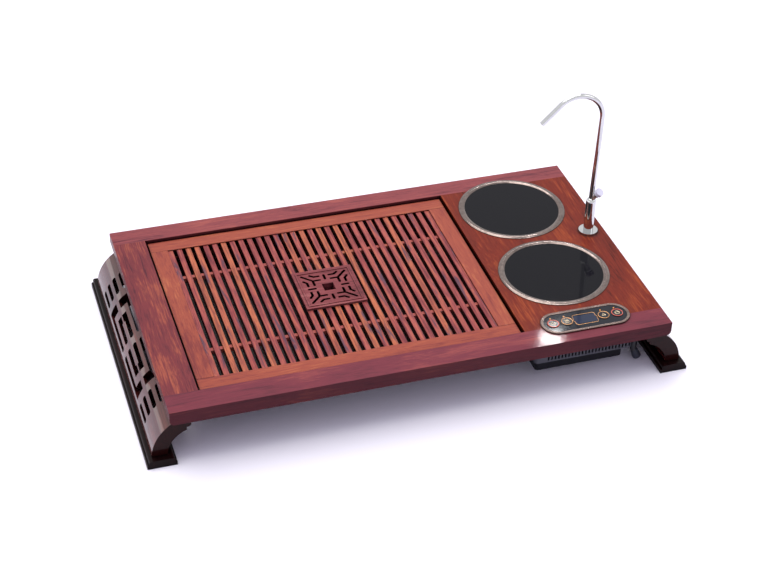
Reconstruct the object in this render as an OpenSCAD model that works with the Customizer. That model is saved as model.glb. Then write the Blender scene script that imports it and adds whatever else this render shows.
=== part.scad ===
// Wooden tea tray on two pierced board legs, with a lift-out slatted grate over a drain basin,
// two built-in hobs with their control panel, and a swivelling gooseneck water spout.
// Millimetres. X runs along the tray, Y towards its back, Z up from the floor.
// The origin is on the floor below the middle of the top.

/* [Frame] */
// Length of the tray top
frame_w = 800; // [780:5:840]
// Depth of the tray top
frame_d = 480; // [474:2:520]
// Thickness of the tray top
frame_t = 24; // [22:1:28]
// Height of the underside of the top above the floor
clear_h = 76; // [74:1:84]
// Width of the front rail
front_rail_w = 41; // [38:1:46]
// Width of the rear rail
rear_rail_w = 37; // [34:1:42]
// Width of the left stile
stile_w = 52; // [46:1:60]
// Width of the board that carries the cooker
board_w = 232; // [226:1:246]
// Radius under the left and right edges of the top
edge_r = 8; // [5:1:10]
// Length of the tenons in the top frame
tenon_l = 14; // [10:1:18]
// Thickness of the tenons in the top frame
tenon_t = 8; // [6:1:10]
// Width of the stile's tenon
stile_tenon_w = 30; // [24:1:36]
// Width of each of the board's tenons
board_tenon_w = 18; // [14:1:20]

/* [Legs] */
// Distance of the leg boards from the front and back of the top
leg_inset = 12; // [8:1:20]
// Thickness of the leg boards
leg_t = 24; // [20:1:26]
// Radius of the legs' outer face
leg_r = 70; // [66:1:74]
// Distance of the centre of that arc inward from the side of the top
leg_centre_in = 42; // [40:1:44]
// Distance of the centre of that arc below the top of the base rail
leg_centre_drop = 4; // [2:1:6]
// Width of the block on top of each leg
leg_block_w = 26; // [24:1:27]
// Height of that block
leg_block_h = 17; // [15:1:18]
// Radius under the inner edge of that block
leg_block_r = 5; // [3:1:7]
// Width of the base rails
base_w = 45.5; // [42:0.5:50]
// Height of the base rails
base_h = 14; // [12:1:16]
// Height of the lower band of the base rails
base_band_h = 7; // [5:1:8]
// Step between the two bands of the base rails
base_step = 3; // [2:0.5:4]
// Thickness of the leg's tongue
tongue_t = 10; // [8:1:12]
// Depth of the leg's tongue in the base rail
tongue_l = 5; // [4:1:6]

/* [Fretwork] */
// Width of the pierced slots in the legs
fret_slot_w = 8; // [6:0.5:9]
// Distance between rows of slots
fret_pitch = 14.9; // [14.5:0.1:15.5]
// Solid bridge at the middle of the leg
fret_bridge = 16; // [14:1:20]
// Length of the two bent slots on each side of the bridge
fret_bent_l = 103.5; // [98:0.5:106]
// Width of the cross arm of a bent slot
fret_arm_w = 21; // [16:1:24]
// Length of the straight slots inside the bent ones
fret_inner_l = 65.5; // [58:0.5:68]
// Width of the head of an inner slot
fret_head_w = 18; // [14:1:20]
// Height of the cut that raises that head
fret_head_h = 2.6; // [2:0.2:2.8]
// Length of the four slots near each end of the leg
fret_end_l = 43; // [38:1:46]
// Solid wood between the bent slots and the end slots
fret_post = 16; // [14:1:20]

/* [Grate] */
// Gap around the lift-out grate
grate_gap = 3.5; // [2.5:0.5:4.5]
// Depth of the grate's top below the top of the frame
grate_recess = 4.5; // [3:0.5:6]
// Width of the grate's front and rear rails
grate_rail_w = 27; // [24:1:30]
// Width of the grate's stiles
grate_stile_w = 28; // [24:1:32]
// Depth of the slats' top below the grate's top
slat_drop = 2.3; // [1.5:0.1:3]
// Width of a slat
slat_w = 8.8; // [8:0.1:9.6]
// Number of slats
slat_count = 31; // [29:2:33]
// Thickness of a slat
slat_t = 12; // [10:0.5:13]
// Depth of the groove that holds the ends of the slats
slat_groove = 6; // [4:1:8]
// Width of the cross battens
batten_w = 7; // [6:0.5:9]
// Depth of the battens' top below the slats' top
batten_drop = 4; // [3:0.5:5]
// Distance between the two battens
batten_spacing = 195; // [180:5:210]
// Length of the grate's tenons
grate_tenon_l = 12; // [8:1:15]
// Thickness of the grate's tenons
grate_tenon_t = 6; // [5:0.5:8]

/* [Medallion] */
// Number of slats that the medallion covers
med_slats = 7; // [7:2:7]
// Overhang of the medallion past those slats
med_overhang = 0.8; // [0.5:0.1:1]
// Thickness of its plate above the slats
med_plate_t = 4; // [3:0.5:6]
// Width of its pierced slots, as a share of the pierced square
med_slot_share = 0.055; // [0.045:0.001:0.058]
// Side of its centre hole, as a share of the pierced square
med_hole_share = 0.24; // [0.18:0.005:0.25]
// Width of the raised bead around it
med_bead_w = 2.4; // [1.6:0.2:3]
// Height of that bead
med_bead_h = 0.9; // [0.5:0.1:1.2]

/* [Basin] */
// Wall of the drain basin
basin_t = 1.5; // [1.2:0.1:2]
// Depth of the basin below the top frame
basin_depth = 26; // [22:1:28]
// Width of the basin's rim under the frame
basin_rim_w = 10; // [9:0.5:12]
// Ledge of the basin that carries the grate
basin_ledge = 7; // [6:0.5:10]
// Corner radius of the basin
basin_r = 6; // [5:0.5:8]
// Depth of the round sump around the drain
sump_depth = 5; // [4:0.5:6]
// Radius of the sump
sump_r = 22; // [20:1:26]
// Outer radius of the drain spigot's hose barb
drain_r = 8; // [7:0.5:9]
// Length of the hose barb
drain_barb_l = 30; // [24:1:36]

/* [Hobs] */
// Radius of the hob glasses
glass_r = 80.3; // [76:0.1:81]
// Thickness of the hob glasses
glass_t = 4; // [3.5:0.5:5]
// Width of the trim rings
ring_w = 10; // [9:0.5:11]
// Height of the trim rings' edge above the wood
ring_h = 0.9; // [0.6:0.1:1.2]
// Rise of the rounded top of the trim rings
ring_dome = 1.6; // [1:0.1:2]
// Gap between the two trim rings
hob_gap = 12; // [10:1:14]
// Distance of the trim rings from the left edge of the board
hob_inset = 13; // [11:0.5:15]
// Outer radius of the heating coils
coil_r = 66; // [60:1:68]
// Radius of the hole in the heating coils
coil_hole_r = 18; // [14:1:22]
// Thickness of the heating coils
coil_t = 4; // [3:0.5:4.5]
// Radius on which the coil carriers' posts stand
post_ring_r = 50; // [49:0.5:51]

/* [Control panel] */
// Length of the control panel
panel_l = 147; // [143:1:150]
// Depth of the control panel
panel_d = 52.6; // [50:0.2:54]
// Gap between the control panel and the front trim ring
panel_gap = 14.4; // [13:0.2:16]
// Width of the bezel
bezel_w = 4.4; // [4:0.1:5]
// Height of the bezel above the wood
bezel_h = 2.4; // [2:0.1:3]
// Height of the black plate above the wood
plate_h = 1.4; // [1:0.1:1.6]
// Thickness of the black plate
plate_t = 3; // [2.5:0.1:3.5]
// Radius of the buttons
button_r = 9.3; // [8.5:0.1:9.6]
// Height of a button above the plate
button_h = 1; // [0.9:0.1:1.4]
// Travel of a button
button_travel = 0.8; // [0.6:0.1:0.8]
// Distance of the inner buttons from the middle
button_inner_x = 31; // [30.5:0.1:31.5]
// Distance of the outer buttons from the middle
button_outer_x = 54; // [53:0.1:54.5]
// Width of the display window
window_w = 37; // [34:0.5:38]
// Depth of the display window
window_d = 20; // [18:0.5:22]
// Radius of the indicator lamps
lamp_r = 1.2; // [1:0.1:1.5]
// Distance of the indicator lamps behind the buttons
lamp_y = 14; // [13.5:0.1:14.5]

/* [Cooker housing] */
// Width of the cooker housing
housing_w = 166; // [162:1:167]
// Distance of the housing from the front of the top
housing_front = 36; // [34:1:38]
// Length of the housing
housing_l = 412; // [408:1:418]
// Depth of the housing
housing_h = 41; // [39:1:43]
// Wall thickness of the housing
wall_t = 2; // [1.5:0.1:2.5]
// Width of the housing's rim under the board
rim_w = 8; // [7:0.5:9]
// Width of a vent slot
vent_w = 3.1; // [2.6:0.1:3.6]
// Distance between vent slots
vent_pitch = 5.75; // [5.2:0.05:6.2]
// Height of the vent slots
vent_h = 8.5; // [7:0.5:20]
// Blank wall left of the front vents
vent_blank = 16; // [14:1:18]
// Width of the lower pan
pan_w = 148; // [140:1:150]
// Length of the lower pan
pan_l = 290; // [280:1:300]
// Depth of the lower pan
pan_h = 14.5; // [11:0.5:17]
// Side of the fan
fan_w = 80; // [76:1:80]
// Height of the fan
fan_h = 18; // [15:1:20]
// Number of fan blades
blade_count = 7; // [5:1:9]
// Radius of the pump's motor
pump_r = 13.5; // [12:0.5:13.5]
// Length of the pump's motor
pump_motor_l = 54; // [48:1:56]
// Outer radius of the delivery hose
hose_r = 3.5; // [3.2:0.1:3.8]
// Bore radius of the delivery hose
hose_bore_r = 2.5; // [2.2:0.1:2.7]
// Radius of the delivery hose's bend
hose_bend_r = 25; // [22:1:26]
// Bore radius of the mains cable gland
gland_bore_r = 3.7; // [3.2:0.1:4]
// Length of the mains cable gland outside the housing
gland_l = 14; // [10:1:16]
// Length of the upright part of the water inlet
inlet_l = 27; // [24:1:28]
// Tilt of the water inlet's nozzle away from the vertical, in degrees
inlet_tilt = 24; // [18:1:26]
// Bore radius of the water inlet
inlet_bore_r = 2.8; // [2.4:0.1:3.2]
// Length of the water inlet's nozzle
nozzle_l = 17; // [14:1:18]
// Outer radius of the nozzle's mouth
nozzle_r = 7; // [6.4:0.1:7.2]

/* [Spout] */
// Distance of the spout's axis from the right side of the top
spout_inset = 28; // [26:0.5:29]
// Outer radius of the gooseneck tube
tube_r = 4.5; // [4:0.1:4.8]
// Wall of the gooseneck tube
tube_wall = 0.8; // [0.6:0.1:1.2]
// Length of the straight neck, from the top of the spout's body to the bend
neck_l = 153; // [140:1:165]
// Lean of the neck to the right, in degrees
neck_lean = 1.2; // [0:0.1:2]
// Radius of the gooseneck's bend
neck_bend_r = 44; // [38:1:45]
// Angle of the gooseneck's bend, in degrees
neck_bend = 136; // [130:0.5:150]
// Length of the straight end of the gooseneck
neck_end_l = 42; // [35:1:50]
// Radius of the spout's column
column_r = 8.5; // [8:0.1:9]
// Height of the fixed column above the wood
column_h = 28; // [24:1:32]
// Height of the swivelling body
swivel_h = 39; // [36:1:40]
// Radius of the flow knob
knob_r = 7.2; // [6.5:0.1:7.4]
// Thickness of the flow knob
knob_t = 6; // [5:0.5:7]
// Tilt of the flow knob's stub above the horizontal, in degrees
stub_tilt = 56; // [54:1:58]
// Turn of the flow knob's stub from the right towards the front, in degrees
stub_turn = 60; // [0:1:80]

/* [Hidden] */
// Fits
fit = 0.1;
weld = 0.05;
seat_gap = 0.3;
run_fit = 0.06;
slide_gap = 0.3;
cut = 1;
$fn = 96;

// Outer faces of the top
top_z = clear_h + frame_t;
left_x = -frame_w / 2;
right_x = frame_w / 2;
front_y = -frame_d / 2;
back_y = frame_d / 2;

// Opening of the frame
open_x = [left_x + stile_w, right_x - board_w];
open_y = [front_y + front_rail_w, back_y - rear_rail_w];

// Tenons of the top frame
stile_mid_x = left_x + stile_w / 2;
board_tenon_inset = 5;
board_tenon_x = [open_x[1] + board_tenon_inset + board_tenon_w / 2,
    right_x - board_tenon_inset - board_tenon_w / 2];
tenon_z = clear_h + frame_t / 2;
tip_gap = 0.5;

// Wood screws
screw_r = 2;
screw_head_r = 4;
screw_head_h = 2.4;
leg_screw_l = 26;
base_screw_l = 34;
small_screw_r = 1.5;
small_head_r = 3;
small_head_h = 1.8;
small_screw_l = 11;

// Legs, in the frame of the left one: u inward from the side of the top, w up from its underside
leg_h = clear_h - base_h;
leg_l = frame_d - 2 * leg_inset;
leg_y = [front_y + leg_inset, back_y - leg_inset];
arc_w = -leg_h - leg_centre_drop;
leg_in_r = leg_r - leg_t;
foot_out_u = leg_centre_in - sqrt(leg_r * leg_r - leg_centre_drop * leg_centre_drop);
foot_in_u = leg_centre_in - sqrt(leg_in_r * leg_in_r - leg_centre_drop * leg_centre_drop);
foot_mid_u = (foot_out_u + foot_in_u) / 2;
cusp_share = 0.73;
cusp_u = edge_r + cusp_share * leg_block_w;
block_screw_share = 0.62;
block_screw_u = edge_r + block_screw_share * leg_block_w;
block_screw_w = -10;
base_outer_share = 0.2;
base_out_u = foot_out_u - base_outer_share * base_w;
base_round_r = 3.5;
band_round_r = 2;
tip_seat = 0.4;

// Rows of slots, as angles above the horizontal at the arc's centre
row_angle = fret_pitch / leg_r * 180 / PI;
low_angle = 18.9;
arm_share = 0.5;
head_share = 0.33;
fret_step = 0.2;
bent_out = fret_bridge / 2 + fret_bent_l;
inner_out = fret_bridge / 2 + fret_inner_l;
end_in = bent_out + fret_post;
end_out = end_in + fret_end_l;
post_y = bent_out + fret_post / 2;
end_y = (end_out + leg_l / 2) / 2;
block_screw_y = (end_in + end_out) / 2;
block_screw_ys = [-block_screw_y, 0, block_screw_y];
base_screw_ys = [-end_y, -post_y, 0, post_y, end_y];

// Grate
grate_t = frame_t - grate_recess;
grate_x = [open_x[0] + grate_gap, open_x[1] - grate_gap];
grate_y = [open_y[0] + grate_gap, open_y[1] - grate_gap];
grate_z = [clear_h, clear_h + grate_t];
field_x = [grate_x[0] + grate_stile_w, grate_x[1] - grate_stile_w];
field_y = [grate_y[0] + grate_rail_w, grate_y[1] - grate_rail_w];
field_w = field_x[1] - field_x[0];
field_mid = [(field_x[0] + field_x[1]) / 2, (field_y[0] + field_y[1]) / 2];
slat_pitch = (field_w - slat_w) / (slat_count - 1);
slat_gap_w = slat_pitch - slat_w;
slat_top = grate_z[1] - slat_drop;
slat_z = [slat_top - slat_t, slat_top];
batten_z = [slat_z[0], slat_top - batten_drop];
batten_seat = 5;
batten_ys = [field_mid[1] - batten_spacing / 2, field_mid[1] + batten_spacing / 2];
grate_tenon_share = 0.6;
grate_tenon_w = grate_tenon_share * grate_stile_w;
grate_tenon_z = (grate_z[0] + grate_z[1]) / 2;

// Medallion
med_w = med_slats * slat_w + (med_slats - 1) * slat_gap_w + 2 * med_overhang;
med_cut_slats = med_slats - 2;
med_side_gap = 1.2;
med_plug_w = med_cut_slats * slat_w + (med_cut_slats + 1) * slat_gap_w - 2 * med_side_gap;
med_end_gap = 0.3;
med_half = med_plug_w / 2;
med_slot_w = med_slot_share * med_plug_w;
med_hole_w = med_hole_share * med_plug_w;
bead_out_share = 0.9;

// Basin
well_x = [open_x[0] + basin_ledge, open_x[1] - basin_ledge];
well_y = [open_y[0] + basin_ledge, open_y[1] - basin_ledge];
well_z = clear_h - basin_depth;
sump_z = well_z - sump_depth;
drain_x_share = 0.86;
drain_y_share = 0.78;
drain_x = well_x[0] + drain_x_share * (well_x[1] - well_x[0]);
drain_y = well_y[0] + drain_y_share * (well_y[1] - well_y[0]);
drain_wall = 2;
drain_shank_wall = 4.5;
drain_shank_r = drain_r - drain_wall + drain_shank_wall;
drain_rim_r = drain_shank_r + 2 * drain_wall;
gasket_t = 1.5;
nut_t = 5;
drain_nut_z = sump_z - gasket_t - nut_t;
drain_axis_z = drain_nut_z - drain_r - drain_wall;
drain_neck_l = 14;
strainer_t = 1;
strainer_hole_r = 1.1;
basin_screw_shares = [0.08, 0.36, 0.64, 0.92];

// Hobs and panel, laid out about the middle of the top's depth
ring_r = glass_r + fit + ring_w;
ring_in_r = glass_r + fit;
collar_t = 2;
collar_r = ring_in_r + collar_t;
hob_hole_r = collar_r + seat_gap;
lip_w = 4;
lip_t = 1.6;
glass_top = top_z + fit + ring_h / 2;
glass_z = glass_top - glass_t;
module_l = panel_d + panel_gap + 4 * ring_r + hob_gap;
module_y = -module_l / 2;
hob_x = open_x[1] + hob_inset + ring_r;
hob_ys = [module_y + panel_d + panel_gap + ring_r,
    module_y + panel_d + panel_gap + 3 * ring_r + hob_gap];
hob_mid_y = (hob_ys[0] + hob_ys[1]) / 2;
coil_drop = 2.5;
coil_top = glass_z - lip_t - coil_drop;
carrier_t = 3;
carrier_top = coil_top - coil_t;
carrier_rim = 4;
post_r = 4;
carrier_window_r = 13;
carrier_window_share = 0.68;

// Panel
panel_x = hob_x;
panel_y = module_y + panel_d / 2;
panel_hole_gap = 0.4;
bezel_collar_t = 1.4;
bezel_collar_l = 9;
plate_l = panel_l - 2 * bezel_w;
plate_d = panel_d - 2 * bezel_w;
plate_z = top_z + plate_h - plate_t;
bezel_lip_w = 2;
bezel_lip_t = 1.5;
button_hole_r = button_r + slide_gap;
button_rim_w = 1;
button_rim_t = 1.2;
button_xs = [-button_outer_x, -button_inner_x, button_inner_x, button_outer_x];
button_rim_z = plate_z - slide_gap - button_rim_t;
button_stem_r = 2;
button_stem_l = 2;
switch_w = 6;
switch_top = button_rim_z - button_stem_l - button_travel - fit;
switch_h = 1.6;
board_t = 1.6;
switch_board_z = switch_top - switch_h - board_t;
switch_board_inset = 3;
stand_r = 2.2;
stand_x_share = 0.11;
stand_side_y = button_hole_r + button_rim_w + stand_r + seat_gap;
stand_inset = 6.4;

// Housing
housing_x = [hob_x - housing_w / 2, hob_x + housing_w / 2];
housing_y = [front_y + housing_front, front_y + housing_front + housing_l];
housing_z = clear_h - housing_h;
floor_z = housing_z + wall_t;
housing_corner_r = 6;
vent_foot = 3;
vent_count = floor((housing_w - vent_blank - 2 * wall_t) / vent_pitch);
rear_vent_share = 0.65;
rear_vent_count = floor(rear_vent_share * vent_count);
fan_x = hob_x;
fan_y = hob_mid_y;
fan_hole_share = 0.44;
fan_hole_r = fan_hole_share * fan_w;
fan_wall = 2.5;
fan_hub_share = 0.36;
fan_hub_r = fan_hub_share * fan_hole_r;
fan_pin_r = 1.5;
blade_gap = 1.5;
blade_t = 1.4;
blade_tilt = 38;
spoke_w = 4;
pan_inset = 2;
pan_x = [housing_x[0] + pan_inset, housing_x[0] + pan_inset + pan_w];
pan_y = [housing_y[0] + pan_inset, housing_y[0] + pan_inset + pan_l];
pan_z = housing_z - pan_h;
pan_corner_r = 5;
grille_w = 3;
grille_pitch = 7;
rim_t = 2;
housing_screw_shares = [0.12, 0.5, 0.88];

// Main board
main_board_inset = 14;
main_board_front = 38;
main_board_l = 102;
main_board_lift = 5;
main_board_x = housing_x + [main_board_inset, -main_board_inset];
main_board_y = [hob_ys[1] - main_board_front, hob_ys[1] - main_board_front + main_board_l];
main_board_z = floor_z + main_board_lift;
main_board_gap = 1.5;
stand_in = 8;
cap_r = 7;
cap_h = 16;
cap_pitch = 18;
cap_inset = 14;
sink_w = 34;
sink_l = 52;
sink_h = 18;
sink_base = 4;
fin_t = 2;
fin_count = 6;

// Pump, hose and inlet
pump_side = 19.5;
pump_lift = 5;
pump_x = housing_x[1] - pump_side;
pump_z = floor_z + pump_lift + pump_r;
pump_head_l = 14;
pump_head_w = 27;
pump_head_h = 24;
pump_head_y = housing_y[0] + wall_t + seat_gap;
pump_motor_y = pump_head_y + pump_head_l;
pump_end_y = pump_motor_y + pump_motor_l;
pump_saddle_t = 5;
pump_nozzle_l = 9;
hose_rise = 3;
hose_z = pump_z + hose_rise;
spout_x = right_x - spout_inset;
spout_y = hob_mid_y;
hose_turn_in = 4.7;
hose_turn_x = housing_x[1] - hose_turn_in;
hose_x = hose_turn_x - hose_bend_r;
inlet_r = 5.2;
inlet_drop = 3;
inlet_y = pump_head_y + pump_head_l / 2;
inlet_z = pump_z - inlet_drop;
inlet_out = 7;
nozzle_top_r = 5.4;
nozzle_seat = 3;
nozzle_mouth_share = 0.45;
nozzle_mouth_l = nozzle_mouth_share * nozzle_l;
nozzle_mouth_r = 4.7;
sleeve_wall = 1.2;
spigot_end_r = inlet_r - sleeve_wall;

// Flat cable
cable_w = 12;
cable_t = 1;
cable_in = 22;
cable_back = 14;
cable_x = [housing_x[0] + cable_in, housing_x[0] + cable_in + cable_w];
cable_y = housing_y[0] + cable_back;

// Gland
gland_in = 32;
gland_up = 19;
gland_r = 6;
gland_cap_r = 8.5;
gland_x = housing_x[0] + gland_in;
gland_z = housing_z + gland_up;

// Spout
shank_r = 5;
shank_bore_r = 2.5;
shank_l = 12;
nut_r = 10;
spout_nut_t = 5;
washer_t = 1.5;
pocket_gap = 3;
pocket_r = nut_r + pocket_gap;
column_flange_r = 16;
column_flange_h = 3.5;
spigot_r = 5.5;
spigot_l = 14;
socket_r = spigot_r + run_fit;
seal_w = 1.8;
seal_depth = 1;
swivel_z = top_z + column_h + slide_gap;
tube_grip = 14;
bead_l = 1;
tube_bore_r = tube_r - tube_wall;
stub_r = 3.9;
stub_ring_r = 4.9;
stub_ring_t = 1;
stub_ring_pitch = 1.75;
stub_drop = 5.3;
stub_z = swivel_z + swivel_h - stub_drop;
stub_l = 21;
spindle_r = 1.8;
spindle_l = 8;
elbow_r = 5.5;
elbow_z = hose_z;
elbow_barb_l = 13;

// A box between two values on each axis
module box(x, y, z) {
    translate([x[0], y[0], z[0]]) cube([x[1] - x[0], y[1] - y[0], z[1] - z[0]]);
}

// A centred rectangle with round corners
module rounded_rect(w, d, r) {
    square([w - 2 * r, d], center = true);
    square([w, d - 2 * r], center = true);
    for (sx = [-1, 1], sy = [-1, 1])
        translate([sx * (w / 2 - r), sy * (d / 2 - r)]) circle(r);
}

// The same between two values on each axis
module rounded_span(x, y, r) {
    translate([(x[0] + x[1]) / 2, (y[0] + y[1]) / 2]) rounded_rect(x[1] - x[0], y[1] - y[0], r);
}

// A centred slot with round ends, along X
module obround(l, w) {
    square([l - w, w], center = true);
    for (s = [-1, 1]) translate([s * (l - w) / 2, 0]) circle(w / 2);
}

// Extrudes an outline drawn in X and Z along Y
module along_y(y) {
    translate([0, y[1], 0]) rotate([90, 0, 0]) linear_extrude(y[1] - y[0]) children();
}

// Extrudes an outline drawn in Y and Z along X
module along_x(x) {
    translate([x[0], 0, 0]) rotate([90, 0, 90]) linear_extrude(x[1] - x[0]) children();
}

// Outline of the whole top seen from the front, with its round lower edges
module top_outline() {
    translate([left_x, clear_h + edge_r]) square([frame_w, frame_t - edge_r]);
    translate([left_x + edge_r, clear_h]) square([frame_w - 2 * edge_r, frame_t]);
    for (s = [-1, 1])
        translate([s * (frame_w / 2 - edge_r), clear_h + edge_r]) circle(edge_r);
}

// Keeps what lies inside the top
module in_top() {
    intersection() {
        children();
        along_y([front_y - cut, back_y + cut]) top_outline();
    }
}

// A tenon of the top frame at one place along X, or its mortise when play is set
module frame_tenon(x, w, y, play = 0) {
    box([x - w / 2 - play, x + w / 2 + play], y,
        [tenon_z - tenon_t / 2 - play, tenon_z + tenon_t / 2 + play]);
}

// All the tenons that enter one rail, or their mortises
module rail_tenons(y, play = 0) {
    frame_tenon(stile_mid_x, stile_tenon_w, y, play);
    for (x = board_tenon_x) frame_tenon(x, board_tenon_w, y, play);
}

// Holes of the two hobs through the top
module hob_holes() {
    for (y = hob_ys)
        translate([hob_x, y, clear_h - cut]) cylinder(r = hob_hole_r, h = frame_t + 2 * cut);
}

// Hole of the control panel through the top
module panel_hole() {
    translate([panel_x, panel_y, clear_h - cut]) linear_extrude(frame_t + 2 * cut)
        obround(plate_l + 2 * bezel_collar_t + 2 * panel_hole_gap,
            plate_d + 2 * bezel_collar_t + 2 * panel_hole_gap);
}

// Pilot holes for small screws that come up from below
module small_pilots() {
    for (p = concat(basin_screw_places(), housing_screw_places()))
        translate([p[0], p[1], clear_h - cut])
            cylinder(r = small_screw_r + fit, h = small_screw_l + cut);
}

function basin_screw_places() = [
    for (s = basin_screw_shares, y = [open_y[0] - basin_rim_w / 2, open_y[1] + basin_rim_w / 2])
        [open_x[0] + s * (open_x[1] - open_x[0]), y]];

function housing_screw_places() = [
    for (s = housing_screw_shares, x = [housing_x[0] - rim_w / 2, housing_x[1] + rim_w / 2])
        [x, housing_y[0] + s * housing_l]];

// Pilot holes for the screws through the leg blocks
module leg_pilots() {
    for (s = [-1, 1], y = block_screw_ys)
        translate([s * (left_x + block_screw_u), y, clear_h - cut])
            cylinder(r = screw_r + fit, h = leg_screw_l + block_screw_w + 2 * cut);
}

module front_rail() {
    color("#6f2f2a") in_top() difference() {
        box([left_x, right_x], [front_y, open_y[0]], [clear_h, top_z]);
        rail_tenons([open_y[0] - tenon_l - tip_gap, open_y[0] + cut], fit);
        panel_hole();
        small_pilots();
    }
}

module rear_rail() {
    color("#6f2f2a") in_top() difference() {
        box([left_x, right_x], [open_y[1], back_y], [clear_h, top_z]);
        rail_tenons([open_y[1] - cut, open_y[1] + tenon_l + tip_gap], fit);
        hob_holes();
        small_pilots();
    }
}

module left_stile() {
    color("#9a4a2c") in_top() difference() {
        union() {
            box([left_x, open_x[0]], open_y, [clear_h, top_z]);
            frame_tenon(stile_mid_x, stile_tenon_w, [open_y[0] - tenon_l, open_y[1] + tenon_l]);
        }
        leg_pilots();
    }
}

module cooker_board() {
    color("#8a2f1c") in_top() difference() {
        union() {
            box([open_x[1], right_x], open_y, [clear_h, top_z]);
            for (x = board_tenon_x)
                frame_tenon(x, board_tenon_w, [open_y[0] - tenon_l, open_y[1] + tenon_l]);
        }
        hob_holes();
        panel_hole();
        leg_pilots();
        small_pilots();
        translate([spout_x, spout_y, clear_h - cut])
            cylinder(r = shank_r + fit, h = frame_t + 2 * cut);
    }
}

// Section of a leg: a board bent to an arc, with a block under the top and a tongue below
module leg_section() {
    intersection() {
        translate([leg_centre_in, arc_w]) difference() {
            circle(leg_r);
            circle(leg_in_r);
        }
        translate([leg_centre_in - leg_r, -leg_h])
            square([leg_r - leg_centre_in + cusp_u, leg_h]);
    }
    translate([edge_r, -leg_block_h]) square([leg_block_w - leg_block_r, leg_block_h]);
    translate([edge_r, leg_block_r - leg_block_h])
        square([leg_block_w, leg_block_h - leg_block_r]);
    translate([edge_r + leg_block_w - leg_block_r, leg_block_r - leg_block_h])
        circle(leg_block_r);
    translate([foot_mid_u - tongue_t / 2, -leg_h - tongue_l]) square([tongue_t, tongue_l + cut]);
}

// One row of slots, drawn flat: the bent or the inner slot, and the end slot, on both sides
module fret_row(outer) {
    r = fret_slot_w / 2;
    for (side = [0, 1]) mirror([side, 0]) {
        translate([fret_bridge / 2 + r, 0]) {
            circle(r);
            translate([0, -r])
                square([(outer ? bent_out : inner_out) - fret_bridge / 2 - r, fret_slot_w]);
        }
        if (!outer) translate([bent_out - fret_arm_w, -r]) square([fret_arm_w, fret_slot_w]);
        translate([(end_in + end_out) / 2, 0]) obround(end_out - end_in, fret_slot_w);
    }
}

// The cuts between two rows: the cross arms, and the heads of the inner slots. Each is a
// little wider than the slots it joins.
module fret_link(x1, w, h) {
    for (side = [0, 1]) mirror([side, 0])
        translate([x1 - w - fret_step, -h / 2]) square([w + 2 * fret_step, h]);
}

// A drawing cut straight through the bent board, at an angle above the horizontal
module fret_cut(angle) {
    translate([leg_centre_in, 0, arc_w]) rotate([0, 90 + angle, 0]) rotate([0, 0, 90])
        translate([0, 0, -leg_r - fret_slot_w])
            linear_extrude(leg_t + fret_slot_w + fret_slot_w / 2) children();
}

// All the slots of a leg
module fret_cuts() {
    for (i = [0 : 3]) fret_cut(low_angle + i * row_angle) fret_row(i == 0 || i == 3);
    for (i = [0, 1]) {
        fret_cut(low_angle + (2 * i + arm_share) * row_angle)
            fret_link(bent_out, fret_arm_w, fret_pitch);
        fret_cut(low_angle + (1 + i + (1 - 2 * i) * head_share) * row_angle)
            fret_link(inner_out, fret_head_w, fret_head_h);
    }
}

// The left leg at its place, without the right leg's pocket
module leg() {
    translate([left_x, 0, clear_h]) difference() {
        along_y(leg_y) leg_section();
        fret_cuts();
        for (y = block_screw_ys) translate([block_screw_u, y, 0]) {
            translate([0, 0, -leg_h]) cylinder(r = screw_head_r + seat_gap, h = leg_h + block_screw_w);
            translate([0, 0, -leg_h]) cylinder(r = screw_r + fit, h = leg_h + cut);
        }
        for (y = base_screw_ys) translate([foot_mid_u, y, -leg_h - base_h])
            cylinder(r = screw_r + fit, h = base_screw_l + cut);
    }
}

module left_leg_panel() {
    color("#6d1f18") leg();
}

module right_leg_panel() {
    color("#6d1f18") difference() {
        mirror([1, 0, 0]) leg();
        translate([spout_x, spout_y, clear_h - leg_block_h * 2])
            cylinder(r = pocket_r, h = leg_block_h * 2 + cut);
        box([spout_x - leg_block_w, spout_x],
            [spout_y - elbow_r - pocket_gap, spout_y + elbow_r + pocket_gap],
            [clear_h - leg_block_h * 2, clear_h + cut]);
    }
}

// Section of a base rail: two stepped bands with round upper edges and a groove
module base_section() {
    inner_w = base_w - 2 * base_step;
    square([base_w, base_band_h - band_round_r]);
    translate([band_round_r, 0]) square([base_w - 2 * band_round_r, base_band_h]);
    for (u = [band_round_r, base_w - band_round_r])
        translate([u, base_band_h - band_round_r]) circle(band_round_r);
    translate([base_step, 0]) square([inner_w, base_h - base_round_r]);
    translate([base_step + base_round_r, 0]) square([inner_w - 2 * base_round_r, base_h]);
    for (u = [base_step + base_round_r, base_w - base_step - base_round_r])
        translate([u, base_h - base_round_r]) circle(base_round_r);
}

// The groove in the rail that takes the leg's tongue
module base_groove() {
    translate([foot_mid_u - base_out_u - tongue_t / 2 - fit, base_h - tongue_l - tip_seat])
        square([tongue_t + 2 * fit, tongue_l + tip_seat + cut]);
}

// The left base rail at its place
module base_rail() {
    translate([left_x + base_out_u, 0, 0]) difference() {
        along_y([front_y, back_y]) base_section();
        along_y([leg_y[0] - seat_gap, leg_y[1] + seat_gap]) base_groove();
        for (y = base_screw_ys) translate([foot_mid_u - base_out_u, y, 0]) {
            translate([0, 0, -cut]) cylinder(r = screw_r + fit, h = base_h + cut);
            translate([0, 0, -cut])
                cylinder(r = screw_head_r + seat_gap, h = screw_head_h + seat_gap + cut);
        }
    }
}

module left_base_rail() {
    color("#3a100d") base_rail();
}

module right_base_rail() {
    color("#3a100d") mirror([1, 0, 0]) base_rail();
}

// A screw standing head down, with its head's underside at zero
module screw(head_r, head_h, r, l) {
    cylinder(r = head_r, h = head_h);
    cylinder(r = r, h = l);
}

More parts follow.
